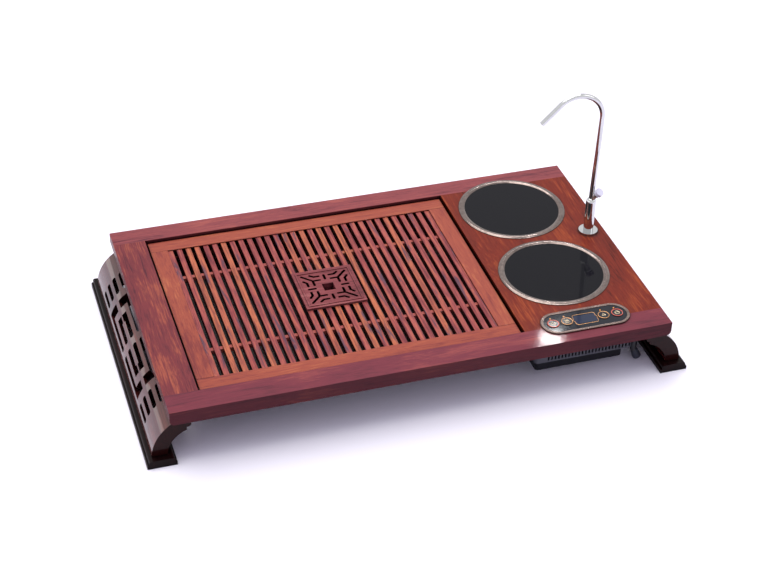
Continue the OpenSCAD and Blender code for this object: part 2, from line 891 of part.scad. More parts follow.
module leg_screws() {
    color("silver") for (side = [0, 1]) mirror([side, 0, 0]) {
        for (y = block_screw_ys)
            translate([left_x + block_screw_u, y, clear_h + block_screw_w - screw_head_h])
                screw(screw_head_r, screw_head_h, screw_r, leg_screw_l);
        for (y = base_screw_ys)
            translate([left_x + foot_mid_u, y, seat_gap])
                screw(screw_head_r, screw_head_h, screw_r, base_screw_l);
    }
}

// A rail of the grate, with the groove for the slats and mortises for the stiles
module grate_rail(y, groove_y, mortise_y) {
    difference() {
        box(grate_x, y, grate_z);
        box(field_x, groove_y, [slat_z[0] - fit, slat_z[1] + fit]);
        for (x = [grate_x[0], field_x[1]])
            box([x + (grate_stile_w - grate_tenon_w) / 2 - fit,
                x + (grate_stile_w + grate_tenon_w) / 2 + fit], mortise_y,
                [grate_tenon_z - grate_tenon_t / 2 - fit, grate_tenon_z + grate_tenon_t / 2 + fit]);
    }
}

module grate_front_rail() {
    color("#a04a3a") grate_rail([grate_y[0], field_y[0]],
        [field_y[0] - slat_groove - fit, field_y[0] + cut],
        [field_y[0] - grate_tenon_l - tip_gap, field_y[0] + cut]);
}

module grate_rear_rail() {
    color("#a04a3a") grate_rail([field_y[1], grate_y[1]],
        [field_y[1] - cut, field_y[1] + slat_groove + fit],
        [field_y[1] - cut, field_y[1] + grate_tenon_l + tip_gap]);
}

// A stile of the grate, with tenons at its ends and mortises for the battens
module grate_stile(x) {
    difference() {
        union() {
            box([x, x + grate_stile_w], field_y, grate_z);
            box([x + (grate_stile_w - grate_tenon_w) / 2, x + (grate_stile_w + grate_tenon_w) / 2],
                [field_y[0] - grate_tenon_l, field_y[1] + grate_tenon_l],
                [grate_tenon_z - grate_tenon_t / 2, grate_tenon_z + grate_tenon_t / 2]);
        }
        for (y = batten_ys)
            box([field_x[0] - batten_seat - fit, field_x[1] + batten_seat + fit],
                [y - batten_w / 2 - fit, y + batten_w / 2 + fit], [batten_z[0] - fit, batten_z[1] + fit]);
    }
}

module grate_left_stile() {
    color("#a04a3a") grate_stile(grate_x[0]);
}

module grate_right_stile() {
    color("#a04a3a") grate_stile(field_x[1]);
}

module slats() {
    color("#a8543c") difference() {
        for (i = [0:slat_count - 1])
            box([field_x[0] + i * slat_pitch, field_x[0] + i * slat_pitch + slat_w],
                [field_y[0] - slat_groove, field_y[1] + slat_groove], slat_z);
        for (y = batten_ys)
            box([field_x[0] - cut, field_x[1] + cut], [y - batten_w / 2 - fit, y + batten_w / 2 + fit],
                [batten_z[0] - cut, batten_z[1] + fit]);
        translate([field_mid[0], field_mid[1], slat_z[0] - cut]) linear_extrude(slat_t + 2 * cut)
            square(med_plug_w + 2 * med_end_gap, center = true);
    }
}

// A cross batten under the slats
module batten(y) {
    box([field_x[0] - batten_seat, field_x[1] + batten_seat],
        [y - batten_w / 2, y + batten_w / 2], batten_z);
}

module front_batten() {
    color("#8c4433") batten(batten_ys[0]);
}

module rear_batten() {
    color("#8c4433") batten(batten_ys[1]);
}

// A bar of the pierced pattern between two points given as shares of the half width
module pierced_bar(a, b) {
    d = (b - a) * med_half;
    l = norm(d);
    translate(a * med_half) rotate(atan2(d[1], d[0])) translate([0, -med_slot_w / 2])
        square([l, med_slot_w]);
    translate(a * med_half) circle(med_slot_w / 2);
    translate(b * med_half) circle(med_slot_w / 2);
}

// The pattern repeats in four quarters, each the same on both sides of its diagonal
stem_shares = [[0.93, 0.93], [0.54, 0.54]];
arm_shares = [0.24, 0.54];
hook_shares = [[0.58, 0.93], [0.44, 0.81], [0.22, 0.81]];
tick_shares = [0.57, 0.84];

module medallion_pattern() {
    square(med_hole_w, center = true);
    for (turn = [0:90:270]) rotate(turn) {
        pierced_bar([0, tick_shares[0]], [0, tick_shares[1]]);
        pierced_bar(stem_shares[0], stem_shares[1]);
        for (flip = [0, 1]) mirror([flip, -flip]) {
            pierced_bar(stem_shares[1], arm_shares);
            pierced_bar(hook_shares[0], hook_shares[1]);
            pierced_bar(hook_shares[1], hook_shares[2]);
        }
    }
}

module medallion() {
    bead_w = bead_out_share * med_w;
    color("#9c5a44") translate([field_mid[0], field_mid[1], 0]) difference() {
        union() {
            translate([0, 0, slat_top]) linear_extrude(med_plate_t) square(med_w, center = true);
            translate([0, 0, slat_z[0]]) linear_extrude(slat_t) square(med_plug_w, center = true);
            translate([0, 0, slat_top + med_plate_t]) linear_extrude(med_bead_h) difference() {
                square(bead_w, center = true);
                square(bead_w - 2 * med_bead_w, center = true);
            }
        }
        translate([0, 0, slat_z[0] - cut]) linear_extrude(slat_t + med_plate_t + 2 * cut)
            medallion_pattern();
    }
}

module drain_basin() {
    color("#17171a") difference() {
        union() {
            translate([0, 0, clear_h - basin_t]) linear_extrude(basin_t)
                rounded_span([open_x[0] - basin_rim_w, open_x[1] + basin_rim_w],
                    [open_y[0] - basin_rim_w, open_y[1] + basin_rim_w], basin_r);
            translate([0, 0, well_z]) linear_extrude(basin_depth)
                rounded_span(well_x + [-basin_t, basin_t], well_y + [-basin_t, basin_t],
                    basin_r + basin_t);
            translate([drain_x, drain_y, sump_z]) cylinder(r = sump_r + basin_t, h = sump_depth);
        }
        translate([0, 0, well_z + basin_t]) linear_extrude(basin_depth)
            rounded_span(well_x, well_y, basin_r);
        translate([drain_x, drain_y, sump_z + basin_t]) cylinder(r = sump_r, h = basin_depth);
        translate([drain_x, drain_y, sump_z - cut])
            cylinder(r = drain_shank_r + seat_gap, h = basin_t + 2 * cut);
        for (p = basin_screw_places()) translate([p[0], p[1], clear_h - basin_t - cut])
            cylinder(r = small_screw_r + fit, h = basin_t + 2 * cut);
    }
}

module basin_screws() {
    color("silver") for (p = basin_screw_places())
        translate([p[0], p[1], clear_h - basin_t - small_head_h])
            screw(small_head_r, small_head_h, small_screw_r, small_head_h + small_screw_l - cut);
}

// A turned fitting: rim in the sump, shank through the hole, and a barb that points back
module drain_spigot() {
    rim_z = sump_z + basin_t;
    color("#2b2b2e") translate([drain_x, drain_y, 0]) difference() {
        union() {
            translate([0, 0, rim_z]) cylinder(r = drain_rim_r, h = drain_wall);
            translate([0, 0, drain_axis_z - drain_r])
                cylinder(r = drain_shank_r, h = rim_z - drain_axis_z + drain_r + fit);
            translate([0, 0, drain_axis_z]) rotate([-90, 0, 0])
                cylinder(r = drain_r, h = drain_shank_r + drain_neck_l + drain_barb_l);
            translate([0, drain_shank_r / 2, drain_axis_z]) rotate([-90, 0, 0])
                cylinder(r = drain_r + drain_wall / 2, h = drain_shank_r / 2 + drain_neck_l);
        }
        translate([0, 0, drain_axis_z])
            cylinder(r = drain_r - drain_wall, h = rim_z + drain_wall - drain_axis_z + cut);
        translate([0, 0, drain_axis_z]) rotate([-90, 0, 0])
            cylinder(r = drain_r - drain_wall, h = drain_shank_r + drain_neck_l + drain_barb_l + cut);
    }
}

module drain_gasket() {
    color("#1a1a1a") translate([drain_x, drain_y, sump_z - gasket_t]) difference() {
        cylinder(r = drain_rim_r, h = gasket_t);
        translate([0, 0, -cut]) cylinder(r = drain_shank_r + fit, h = gasket_t + 2 * cut);
    }
}

module drain_nut() {
    color("#2b2b2e") translate([drain_x, drain_y, drain_nut_z]) difference() {
        cylinder(r = drain_rim_r, h = nut_t, $fn = 6);
        translate([0, 0, -cut]) cylinder(r = drain_shank_r + fit, h = nut_t + 2 * cut);
    }
}

module drain_strainer() {
    r = drain_rim_r - drain_wall / 2;
    color("silver") translate([drain_x, drain_y, sump_z + basin_t + drain_wall]) difference() {
        cylinder(r = r, h = strainer_t);
        translate([0, 0, -cut]) cylinder(r = strainer_hole_r, h = strainer_t + 2 * cut);
        for (ring = [1, 2], a = [0:60 / ring:359])
            rotate([0, 0, a]) translate([ring * r / 3, 0, -cut])
                cylinder(r = strainer_hole_r, h = strainer_t + 2 * cut);
    }
}

// Trim ring: a flange with a round top, a collar down into the wood and a lip for the glass
module hob_ring(y) {
    half = ring_w / 2;
    dome_r = (half * half + ring_dome * ring_dome) / (2 * ring_dome);
    color("#d5d7da") translate([hob_x, y, 0]) rotate_extrude() {
        translate([ring_in_r, top_z]) square([ring_w, ring_h]);
        intersection() {
            translate([ring_in_r + half, top_z + ring_h + ring_dome - dome_r]) circle(dome_r);
            translate([ring_in_r, top_z + ring_h - fit]) square([ring_w, ring_dome + cut]);
        }
        translate([ring_in_r, glass_z - lip_t]) square([collar_t, top_z + ring_h - glass_z + lip_t]);
        translate([ring_in_r - lip_w, glass_z - lip_t]) square([lip_w + collar_t, lip_t]);
    }
}

module front_hob_ring() {
    hob_ring(hob_ys[0]);
}

module rear_hob_ring() {
    hob_ring(hob_ys[1]);
}

module hob_glass(y) {
    color("#101012") translate([hob_x, y, glass_z]) cylinder(r = glass_r, h = glass_t);
}

module front_hob_glass() {
    hob_glass(hob_ys[0]);
}

module rear_hob_glass() {
    hob_glass(hob_ys[1]);
}

// A flat wound heating coil, as one ring
module coil(y) {
    color("#b5692f") translate([hob_x, y, carrier_top]) difference() {
        cylinder(r = coil_r, h = coil_t);
        translate([0, 0, -cut]) cylinder(r = coil_hole_r, h = coil_t + 2 * cut);
    }
}

module front_coil() {
    coil(hob_ys[0]);
}

module rear_coil() {
    coil(hob_ys[1]);
}

// A coil carrier: a disc with windows, on three posts; turn sets where the posts stand
module coil_carrier(y, turn) {
    color("#3c3c40") translate([hob_x, y, 0]) rotate([0, 0, turn]) difference() {
        union() {
            translate([0, 0, carrier_top - carrier_t])
                cylinder(r = coil_r + carrier_rim, h = carrier_t);
            for (a = [0, 120, 240]) rotate([0, 0, a]) translate([post_ring_r, 0, floor_z])
                cylinder(r = post_r, h = carrier_top - carrier_t / 2 - floor_z);
        }
        for (a = [60, 180, 300]) rotate([0, 0, a])
            translate([carrier_window_share * coil_r, 0, carrier_top - carrier_t - cut])
                cylinder(r = carrier_window_r, h = carrier_t + 2 * cut);
    }
}

module front_coil_carrier() {
    coil_carrier(hob_ys[0], 90);
}

module rear_coil_carrier() {
    coil_carrier(hob_ys[1], -90);
}

// Vent slots in a wall that faces front or back, counted from the right edge
module vents(y, count) {
    for (i = [0:count - 1])
        translate([housing_x[1] - 2 * wall_t - i * vent_pitch - vent_w, y - wall_t - cut,
            housing_z + vent_foot])
            cube([vent_w, 2 * (wall_t + cut), vent_h]);
}

module housing_tub() {
    color("#2a2c33") difference() {
        union() {
            translate([0, 0, housing_z]) linear_extrude(housing_h)
                rounded_span(housing_x, housing_y, housing_corner_r);
            translate([0, 0, clear_h - rim_t]) linear_extrude(rim_t)
                rounded_span(housing_x + [-rim_w, rim_w], housing_y, housing_corner_r);
        }
        translate([0, 0, floor_z]) linear_extrude(housing_h)
            rounded_span(housing_x + [wall_t, -wall_t], housing_y + [wall_t, -wall_t],
                housing_corner_r - wall_t);
        vents(housing_y[0], vent_count);
        vents(housing_y[1], rear_vent_count);
        translate([fan_x, fan_y, housing_z - cut]) cylinder(r = fan_hole_r, h = wall_t + 2 * cut);
        translate([housing_x[1], inlet_y, inlet_z]) rotate([0, 90, 0])
            translate([0, 0, -wall_t - cut]) cylinder(r = inlet_r + fit, h = wall_t + 2 * cut);
        translate([housing_x[1], spout_y, hose_z]) rotate([0, 90, 0])
            translate([0, 0, -wall_t - cut]) cylinder(r = hose_r + seat_gap, h = wall_t + 2 * cut);
        translate([gland_x, housing_y[1], gland_z]) rotate([90, 0, 0])
            translate([0, 0, -cut]) cylinder(r = gland_r + fit, h = wall_t + 2 * cut);
        for (p = housing_screw_places()) translate([p[0], p[1], clear_h - rim_t - cut])
            cylinder(r = small_screw_r + fit, h = rim_t + 2 * cut);
    }
}

// The lower pan, which takes in air for the fan through a slotted bottom
module housing_pan() {
    mid = [fan_x, fan_y];
    bars = floor(2 * fan_hole_r / grille_pitch / 2);
    color("#141417") difference() {
        translate([0, 0, pan_z]) linear_extrude(pan_h) rounded_span(pan_x, pan_y, pan_corner_r);
        translate([0, 0, pan_z + wall_t]) linear_extrude(pan_h)
            rounded_span(pan_x + [wall_t, -wall_t], pan_y + [wall_t, -wall_t], pan_corner_r - wall_t);
        for (i = [-bars:bars])
            box([mid[0] + i * grille_pitch - grille_w / 2, mid[0] + i * grille_pitch + grille_w / 2],
                [mid[1] - fan_hole_r, mid[1] + fan_hole_r], [pan_z - cut, pan_z + wall_t + cut]);
    }
}

module housing_screws() {
    color("silver") for (p = housing_screw_places())
        translate([p[0], p[1], clear_h - rim_t - small_head_h])
            screw(small_head_r, small_head_h, small_screw_r, small_head_h + small_screw_l - cut);
}

// Posts of the rear carrier that pass through the main board
function rear_post_places() = [
    for (a = [30, 150]) [hob_x + post_ring_r * cos(a), hob_ys[1] + post_ring_r * sin(a)]];

module circuit_board() {
    color("#1f5a34") difference() {
        union() {
            box(main_board_x, main_board_y, [main_board_z, main_board_z + board_t]);
            for (x = main_board_x + [stand_in, -stand_in], y = main_board_y + [stand_in, -stand_in])
                translate([x, y, floor_z]) cylinder(r = stand_r, h = main_board_lift + board_t);
            for (i = [0:2]) translate([main_board_x[1] - cap_inset,
                main_board_y[0] + cap_inset + i * cap_pitch, main_board_z])
                cylinder(r = cap_r, h = board_t + cap_h);
        }
        for (p = rear_post_places()) translate([p[0], p[1], main_board_z - cut])
            cylinder(r = post_r + main_board_gap, h = board_t + 2 * cut);
    }
}

module heat_sink() {
    z = main_board_z + board_t;
    x0 = hob_x - sink_w / 2;
    y0 = hob_ys[1] - sink_l / 4;
    color("#8f9499") {
        box([x0, x0 + sink_w], [y0, y0 + sink_l], [z, z + sink_base]);
        for (i = [0:fin_count - 1])
            translate([x0 + i * (sink_w - fin_t) / (fin_count - 1), y0, z])
                cube([fin_t, sink_l, sink_h]);
    }
}

module fan_frame() {
    color("#1c1c1f") translate([fan_x, fan_y, floor_z]) {
        difference() {
            translate([0, 0, 0]) linear_extrude(fan_h) rounded_rect(fan_w, fan_w, fan_wall);
            translate([0, 0, -cut]) cylinder(r = fan_hole_r, h = fan_h + 2 * cut);
        }
        cylinder(r = fan_hub_r, h = fan_wall);
        for (a = [0:90:270]) rotate([0, 0, a]) translate([fan_hub_r - cut, -spoke_w / 2, 0])
            cube([fan_hole_r - fan_hub_r + 2 * cut, spoke_w, fan_wall]);
        cylinder(r = fan_pin_r, h = fan_h - fan_wall);
    }
}

module fan_rotor() {
    z0 = fan_wall + slide_gap;
    h = fan_h - 2 * fan_wall;
    color("#33353b") translate([fan_x, fan_y, floor_z]) difference() {
        union() {
            translate([0, 0, z0]) cylinder(r = fan_hub_r, h = h);
            intersection() {
                translate([0, 0, z0]) cylinder(r = fan_hole_r - blade_gap, h = h);
                for (i = [0:blade_count - 1]) rotate([0, 0, i * 360 / blade_count])
                    translate([fan_hub_r - cut, 0, z0 + h / 2]) rotate([blade_tilt, 0, 0])
                        translate([0, -blade_t / 2, -h])
                            cube([fan_hole_r - fan_hub_r + cut, blade_t, 2 * h]);
            }
        }
        translate([0, 0, z0 - cut]) cylinder(r = fan_pin_r + run_fit, h = h + 2 * cut);
    }
}

module water_pump() {
    color("#3a3d44") difference() {
        union() {
            box([pump_x - pump_head_w / 2, pump_x + pump_head_w / 2], [pump_head_y, pump_motor_y],
                [pump_z - pump_head_h / 2, pump_z + pump_head_h / 2]);
            translate([pump_x, pump_motor_y - cut, pump_z]) rotate([-90, 0, 0])
                cylinder(r = pump_r, h = pump_motor_l + cut);
            for (y = [pump_motor_y + pump_saddle_t, pump_end_y - 2 * pump_saddle_t])
                box([pump_x - pump_r / 2, pump_x + pump_r / 2], [y, y + pump_saddle_t],
                    [floor_z, pump_z - pump_r / 2]);
            translate([hose_x, pump_end_y - cut, hose_z]) rotate([-90, 0, 0])
                cylinder(r = hose_bore_r - run_fit, h = pump_nozzle_l + cut);
        }
        translate([pump_x + pump_head_w / 2, inlet_y, inlet_z]) rotate([0, -90, 0])
            translate([0, 0, -cut]) cylinder(r = inlet_bore_r, h = pump_head_w / 2 + cut);
        translate([hose_x, pump_end_y - pump_motor_l / 4, hose_z]) rotate([-90, 0, 0])
            cylinder(r = hose_bore_r / 2, h = pump_motor_l + pump_nozzle_l);
    }
}

// Places its children where the inlet's nozzle starts, Z along the nozzle
module at_nozzle() {
    translate([housing_x[1] + inlet_out, inlet_y, inlet_z - inlet_l])
        rotate([0, 180 - inlet_tilt, 0]) children();
}

// The elbow's outline at one radius: out of the pump, down, and along the nozzle
module inlet_run(r, start, end) {
    x1 = housing_x[1] + inlet_out;
    translate([0, inlet_y, inlet_z]) {
        translate([start, 0, 0]) rotate([0, 90, 0]) cylinder(r = r, h = x1 - start);
        translate([x1, 0, 0]) sphere(r);
        translate([x1, 0, -inlet_l]) cylinder(r = r, h = inlet_l);
        translate([x1, 0, -inlet_l]) sphere(r);
    }
    at_nozzle() cylinder(r = r, h = end);
}

module inlet_elbow() {
    start = pump_x + pump_head_w / 2;
    end = nozzle_seat + nozzle_l - nozzle_mouth_l;
    color("#161619") difference() {
        union() {
            inlet_run(inlet_r, start, nozzle_seat);
            at_nozzle() cylinder(r = spigot_end_r, h = end);
        }
        inlet_run(inlet_bore_r, start - cut, end + cut);
    }
}

// The soft nozzle on the end of the inlet, which widens to its mouth
module inlet_nozzle() {
    lip = nozzle_mouth_l / 2;
    color("#8d95c0") at_nozzle() translate([0, 0, nozzle_seat]) difference() {
        union() {
            cylinder(r1 = nozzle_top_r, r2 = nozzle_r, h = nozzle_l - lip);
            translate([0, 0, nozzle_l - lip]) cylinder(r = nozzle_r, h = lip);
        }
        translate([0, 0, -cut]) cylinder(r = spigot_end_r + run_fit, h = nozzle_l);
        translate([0, 0, nozzle_l - nozzle_mouth_l])
            cylinder(r = nozzle_mouth_r, h = nozzle_mouth_l + cut);
    }
}

// The hose from the pump, round one bend and through the housing wall to the spout
module delivery_hose() {
    y0 = pump_end_y + seat_gap;
    x1 = spout_x - elbow_r - seat_gap;
    color("#d8d2c4") translate([0, 0, hose_z]) {
        translate([hose_x, y0, 0]) rotate([-90, 0, 0]) hose_piece(spout_y - hose_bend_r - y0);
        translate([hose_turn_x, spout_y, 0]) rotate([0, 90, 0]) hose_piece(x1 - hose_turn_x);
        translate([hose_turn_x, spout_y - hose_bend_r, 0]) rotate([0, 0, 90])
            rotate_extrude(angle = 90) translate([hose_bend_r, 0]) difference() {
                circle(hose_r);
                circle(hose_bore_r);
            }
    }
}

module hose_piece(l) {
    linear_extrude(l) difference() {
        circle(hose_r);
        circle(hose_bore_r);
    }
}

// A flat cable down the front wall, along the floor and up to the main board
module control_cable() {
    color("#b9bcc2") along_x(cable_x) {
        translate([cable_y, floor_z + seat_gap])
            square([cable_t, switch_board_z - floor_z - 2 * seat_gap]);
        translate([cable_y, floor_z + seat_gap])
            square([main_board_y[0] - cable_y + 2 * cable_t, cable_t]);
        translate([main_board_y[0] + cable_t, floor_z + seat_gap])
            square([cable_t, main_board_z - floor_z - 2 * seat_gap]);
    }
}

module cable_gland() {
    color("#161619") translate([gland_x, housing_y[1] - wall_t, gland_z]) rotate([-90, 0, 0])
        difference() {
            union() {
                translate([0, 0, -2 * wall_t]) cylinder(r = gland_cap_r, h = 2 * wall_t);
                cylinder(r = gland_r, h = wall_t + gland_l);
                translate([0, 0, wall_t]) cylinder(r = gland_cap_r, h = gland_l / 2);
            }
            translate([0, 0, -2 * wall_t - cut])
                cylinder(r = gland_bore_r, h = 3 * wall_t + gland_l + 2 * cut);
        }
}

module panel_bezel() {
    color("#c7b79a") translate([panel_x, panel_y, 0]) difference() {
        union() {
            translate([0, 0, top_z]) linear_extrude(bezel_h) obround(panel_l, panel_d);
            translate([0, 0, top_z - bezel_collar_l]) linear_extrude(bezel_collar_l + cut)
                obround(plate_l + 2 * bezel_collar_t, plate_d + 2 * bezel_collar_t);
        }
        translate([0, 0, plate_z]) linear_extrude(frame_t)
            obround(plate_l + 2 * fit, plate_d + 2 * fit);
        translate([0, 0, clear_h]) linear_extrude(frame_t)
            obround(plate_l - 2 * bezel_lip_w, plate_d - 2 * bezel_lip_w);
        translate([0, 0, clear_h]) linear_extrude(plate_z - bezel_lip_t - clear_h)
            obround(plate_l + 2 * fit, plate_d + 2 * fit);
    }
}

module panel_plate() {
    color("#0c0c0f") translate([panel_x, panel_y, 0]) difference() {
        union() {
            translate([0, 0, plate_z]) linear_extrude(plate_t) obround(plate_l, plate_d);
            for (s = [-1, 1])
                translate([s * button_outer_x, -stand_side_y, switch_board_z + board_t])
                    cylinder(r = stand_r, h = plate_z - switch_board_z - board_t + cut);
            for (x = [-1, 1], y = [-1, 1])
                translate([x * stand_x_share * plate_l, y * (plate_d / 2 - stand_inset),
                    switch_board_z + board_t])
                    cylinder(r = stand_r, h = plate_z - switch_board_z - board_t + cut);
        }
        for (x = button_xs) {
            translate([x, 0, plate_z - cut]) cylinder(r = button_hole_r, h = plate_t + 2 * cut);
            translate([x, lamp_y, plate_z - cut]) cylinder(r = lamp_r + fit, h = plate_t + 2 * cut);
        }
        translate([0, 0, plate_z + board_t]) linear_extrude(plate_t)
            square([window_w + 2 * fit, window_d + 2 * fit], center = true);
    }
}

module display_window() {
    color("#1d2430") translate([panel_x, panel_y, plate_z + board_t])
        linear_extrude(plate_t - board_t) square([window_w, window_d], center = true);
}

module switch_board() {
    color("#1f5a34") translate([panel_x, panel_y, 0]) {
        translate([0, 0, switch_board_z]) linear_extrude(board_t)
            obround(plate_l - 2 * switch_board_inset, plate_d - 2 * switch_board_inset);
        for (x = button_xs) translate([x, 0, switch_board_z + board_t]) linear_extrude(switch_h)
            square(switch_w, center = true);
    }
}

module indicator_lamps() {
    color("#d9a23a") for (x = button_xs)
        translate([panel_x + x, panel_y + lamp_y, switch_board_z + board_t])
            cylinder(r = lamp_r, h = plate_z + plate_t - switch_board_z - board_t);
}

// A button: cap, retaining rim below the plate and stem over its switch
module button(i) {
    color("#e8e2d6") translate([panel_x + button_xs[i], panel_y, 0]) {
        translate([0, 0, button_rim_z]) cylinder(r = button_r,
            h = plate_z + plate_t + button_h - button_rim_z);
        translate([0, 0, button_rim_z]) cylinder(r = button_hole_r + button_rim_w, h = button_rim_t);
        translate([0, 0, button_rim_z - button_stem_l]) cylinder(r = button_stem_r, h = button_stem_l);
    }
}

module left_outer_button() {
    button(0);
}

module left_inner_button() {
    button(1);
}

module right_inner_button() {
    button(2);
}

module right_outer_button() {
    button(3);
}

// The spout's fixed column: flange, column, spigot for the swivel and shank through the board
module spout_base() {
    spigot_z = top_z + column_h;
    color("#d5d7da") translate([spout_x, spout_y, 0]) difference() {
        union() {
            translate([0, 0, top_z]) cylinder(r = column_flange_r, h = column_flange_h);
            translate([0, 0, top_z]) cylinder(r = column_r, h = column_h);
            translate([0, 0, spigot_z - cut]) cylinder(r = spigot_r, h = spigot_l + cut);
            translate([0, 0, clear_h - shank_l]) cylinder(r = shank_r, h = frame_t + shank_l + cut);
        }
        translate([0, 0, clear_h - shank_l - cut])
            cylinder(r = shank_bore_r, h = frame_t + shank_l + column_h + spigot_l + 3 * cut);
        translate([0, 0, spigot_z + spigot_l / 2 - seal_w / 2]) difference() {
            cylinder(r = spigot_r + cut, h = seal_w);
            translate([0, 0, -cut]) cylinder(r = spigot_r - seal_depth, h = seal_w + 2 * cut);
        }
    }
}

module spout_seal() {
    seal_gap = fit / 2;
    z = top_z + column_h + spigot_l / 2 - seal_w / 2 + seal_gap;
    color("#141414") translate([spout_x, spout_y, z]) difference() {
        cylinder(r = spigot_r, h = seal_w - 2 * seal_gap);
        translate([0, 0, -cut]) cylinder(r = spigot_r - seal_depth + seal_gap, h = seal_w + 2 * cut);
    }
}

module spout_nut() {
    color("#c8a14a") translate([spout_x, spout_y, clear_h - spout_nut_t]) difference() {
        cylinder(r = nut_r, h = spout_nut_t, $fn = 6);
        translate([0, 0, -cut]) cylinder(r = shank_r + fit, h = spout_nut_t + 2 * cut);
    }
}

// The elbow under the spout, with a barb towards the housing for the hose
module spout_elbow() {
    top = clear_h - shank_l;
    color("#2b2b2e") translate([spout_x, spout_y, 0]) difference() {
        union() {
            translate([0, 0, elbow_z - elbow_r]) cylinder(r = elbow_r, h = top - elbow_z + elbow_r);
            translate([0, 0, elbow_z]) rotate([0, -90, 0])
                cylinder(r = hose_bore_r - run_fit, h = elbow_r + elbow_barb_l);
        }
        translate([0, 0, elbow_z]) cylinder(r = hose_bore_r / 2, h = top - elbow_z + cut);
        translate([0, 0, elbow_z]) rotate([0, -90, 0])
            cylinder(r = hose_bore_r / 2, h = elbow_r + elbow_barb_l + cut);
    }
}

// Places its children on the stub's axis, Z outwards, zero on the body's axis
module on_stub() {
    translate([spout_x, spout_y, stub_z]) rotate([0, 90 - stub_tilt, -stub_turn]) children();
}

// Places its children on the leaning neck's axis, zero at the top of the spout's body
module on_neck() {
    translate([spout_x, spout_y, swivel_z + swivel_h]) rotate([0, neck_lean, 0]) children();
}

module spout_body() {
    top = swivel_z + swivel_h;
    color("#d5d7da") difference() {
        union() {
            translate([spout_x, spout_y, swivel_z]) cylinder(r = column_r, h = swivel_h - column_r);
            translate([spout_x, spout_y, top - column_r]) sphere(column_r);
            on_stub() cylinder(r = stub_r, h = stub_l);
            on_stub() for (i = [1:3]) translate([0, 0, stub_l - i * stub_ring_pitch])
                cylinder(r = stub_ring_r, h = stub_ring_t);
        }
        translate([spout_x, spout_y, swivel_z - cut])
            cylinder(r = socket_r, h = spigot_l + cut + slide_gap);
        translate([spout_x, spout_y, swivel_z]) cylinder(r = shank_bore_r, h = swivel_h);
        on_neck() translate([0, 0, -tube_grip]) cylinder(r = tube_r + run_fit, h = tube_grip + stub_l);
        on_stub() translate([0, 0, stub_l - spindle_l]) cylinder(r = spindle_r + run_fit,
            h = spindle_l + cut);
    }
}

// The tube's wall as an outline, for straight and bent lengths, or a thin bead over a joint
module tube_ring(bead = 0) {
    difference() {
        circle(tube_r + bead);
        circle(tube_bore_r - bead);
    }
}

module gooseneck() {
    color("#d5d7da") on_neck() {
        translate([0, 0, -tube_grip]) linear_extrude(neck_l + tube_grip) tube_ring();
        translate([-neck_bend_r, 0, neck_l]) rotate([90, 0, 0])
            rotate_extrude(angle = neck_bend) translate([neck_bend_r, 0]) tube_ring();
        translate([-neck_bend_r, 0, neck_l]) rotate([0, -neck_bend, 0])
            translate([neck_bend_r, 0, 0]) {
                linear_extrude(neck_end_l) tube_ring();
                translate([0, 0, -bead_l / 2]) linear_extrude(bead_l) tube_ring(weld);
            }
    }
}

module flow_knob() {
    color("#c9c9cc") on_stub() {
        translate([0, 0, stub_l + slide_gap]) cylinder(r = knob_r, h = knob_t);
        translate([0, 0, stub_l - spindle_l + slide_gap]) cylinder(r = spindle_r, h = spindle_l + cut);
    }
}

front_rail();
rear_rail();
left_stile();
cooker_board();
left_leg_panel();
right_leg_panel();
left_base_rail();
right_base_rail();
leg_screws();
grate_front_rail();
grate_rear_rail();
grate_left_stile();
grate_right_stile();
slats();
front_batten();
rear_batten();
medallion();
drain_basin();
basin_screws();
drain_spigot();
drain_gasket();
drain_nut();
drain_strainer();
front_hob_ring();
rear_hob_ring();
front_hob_glass();
rear_hob_glass();
front_coil();
rear_coil();
front_coil_carrier();
rear_coil_carrier();
housing_tub();
housing_pan();
housing_screws();
circuit_board();
heat_sink();
fan_frame();
fan_rotor();
water_pump();
inlet_elbow();
inlet_nozzle();
delivery_hose();
control_cable();
cable_gland();
panel_bezel();
panel_plate();
display_window();
switch_board();
indicator_lamps();
left_outer_button();
left_inner_button();
right_inner_button();
right_outer_button();
spout_base();
spout_seal();
spout_nut();
spout_elbow();
spout_body();
gooseneck();
flow_knob();
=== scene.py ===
"""Looks of a wooden tea tray with a built-in two-hob cooker and a chrome water spout."""

import math

import bmesh
import bpy
from bpy.props import FloatProperty, FloatVectorProperty, PointerProperty
from mathutils import Matrix, Vector


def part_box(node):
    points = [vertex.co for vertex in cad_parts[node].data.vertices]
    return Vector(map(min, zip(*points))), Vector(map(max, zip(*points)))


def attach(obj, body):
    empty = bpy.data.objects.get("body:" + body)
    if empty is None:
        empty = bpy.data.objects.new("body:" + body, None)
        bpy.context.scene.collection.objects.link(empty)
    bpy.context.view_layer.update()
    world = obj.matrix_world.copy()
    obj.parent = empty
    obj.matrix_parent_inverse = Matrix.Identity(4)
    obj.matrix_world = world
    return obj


bl_info = {
    "name": "Tea tray with cooker",
    "version": (1, 0, 0),
    "blender": (4, 5, 0),
    "location": "View3D > Sidebar > Tea tray",
    "description": "Finishes a wooden tea tray: lacquered wood, chrome, glass and plastics",
    "category": "Add Mesh",
}

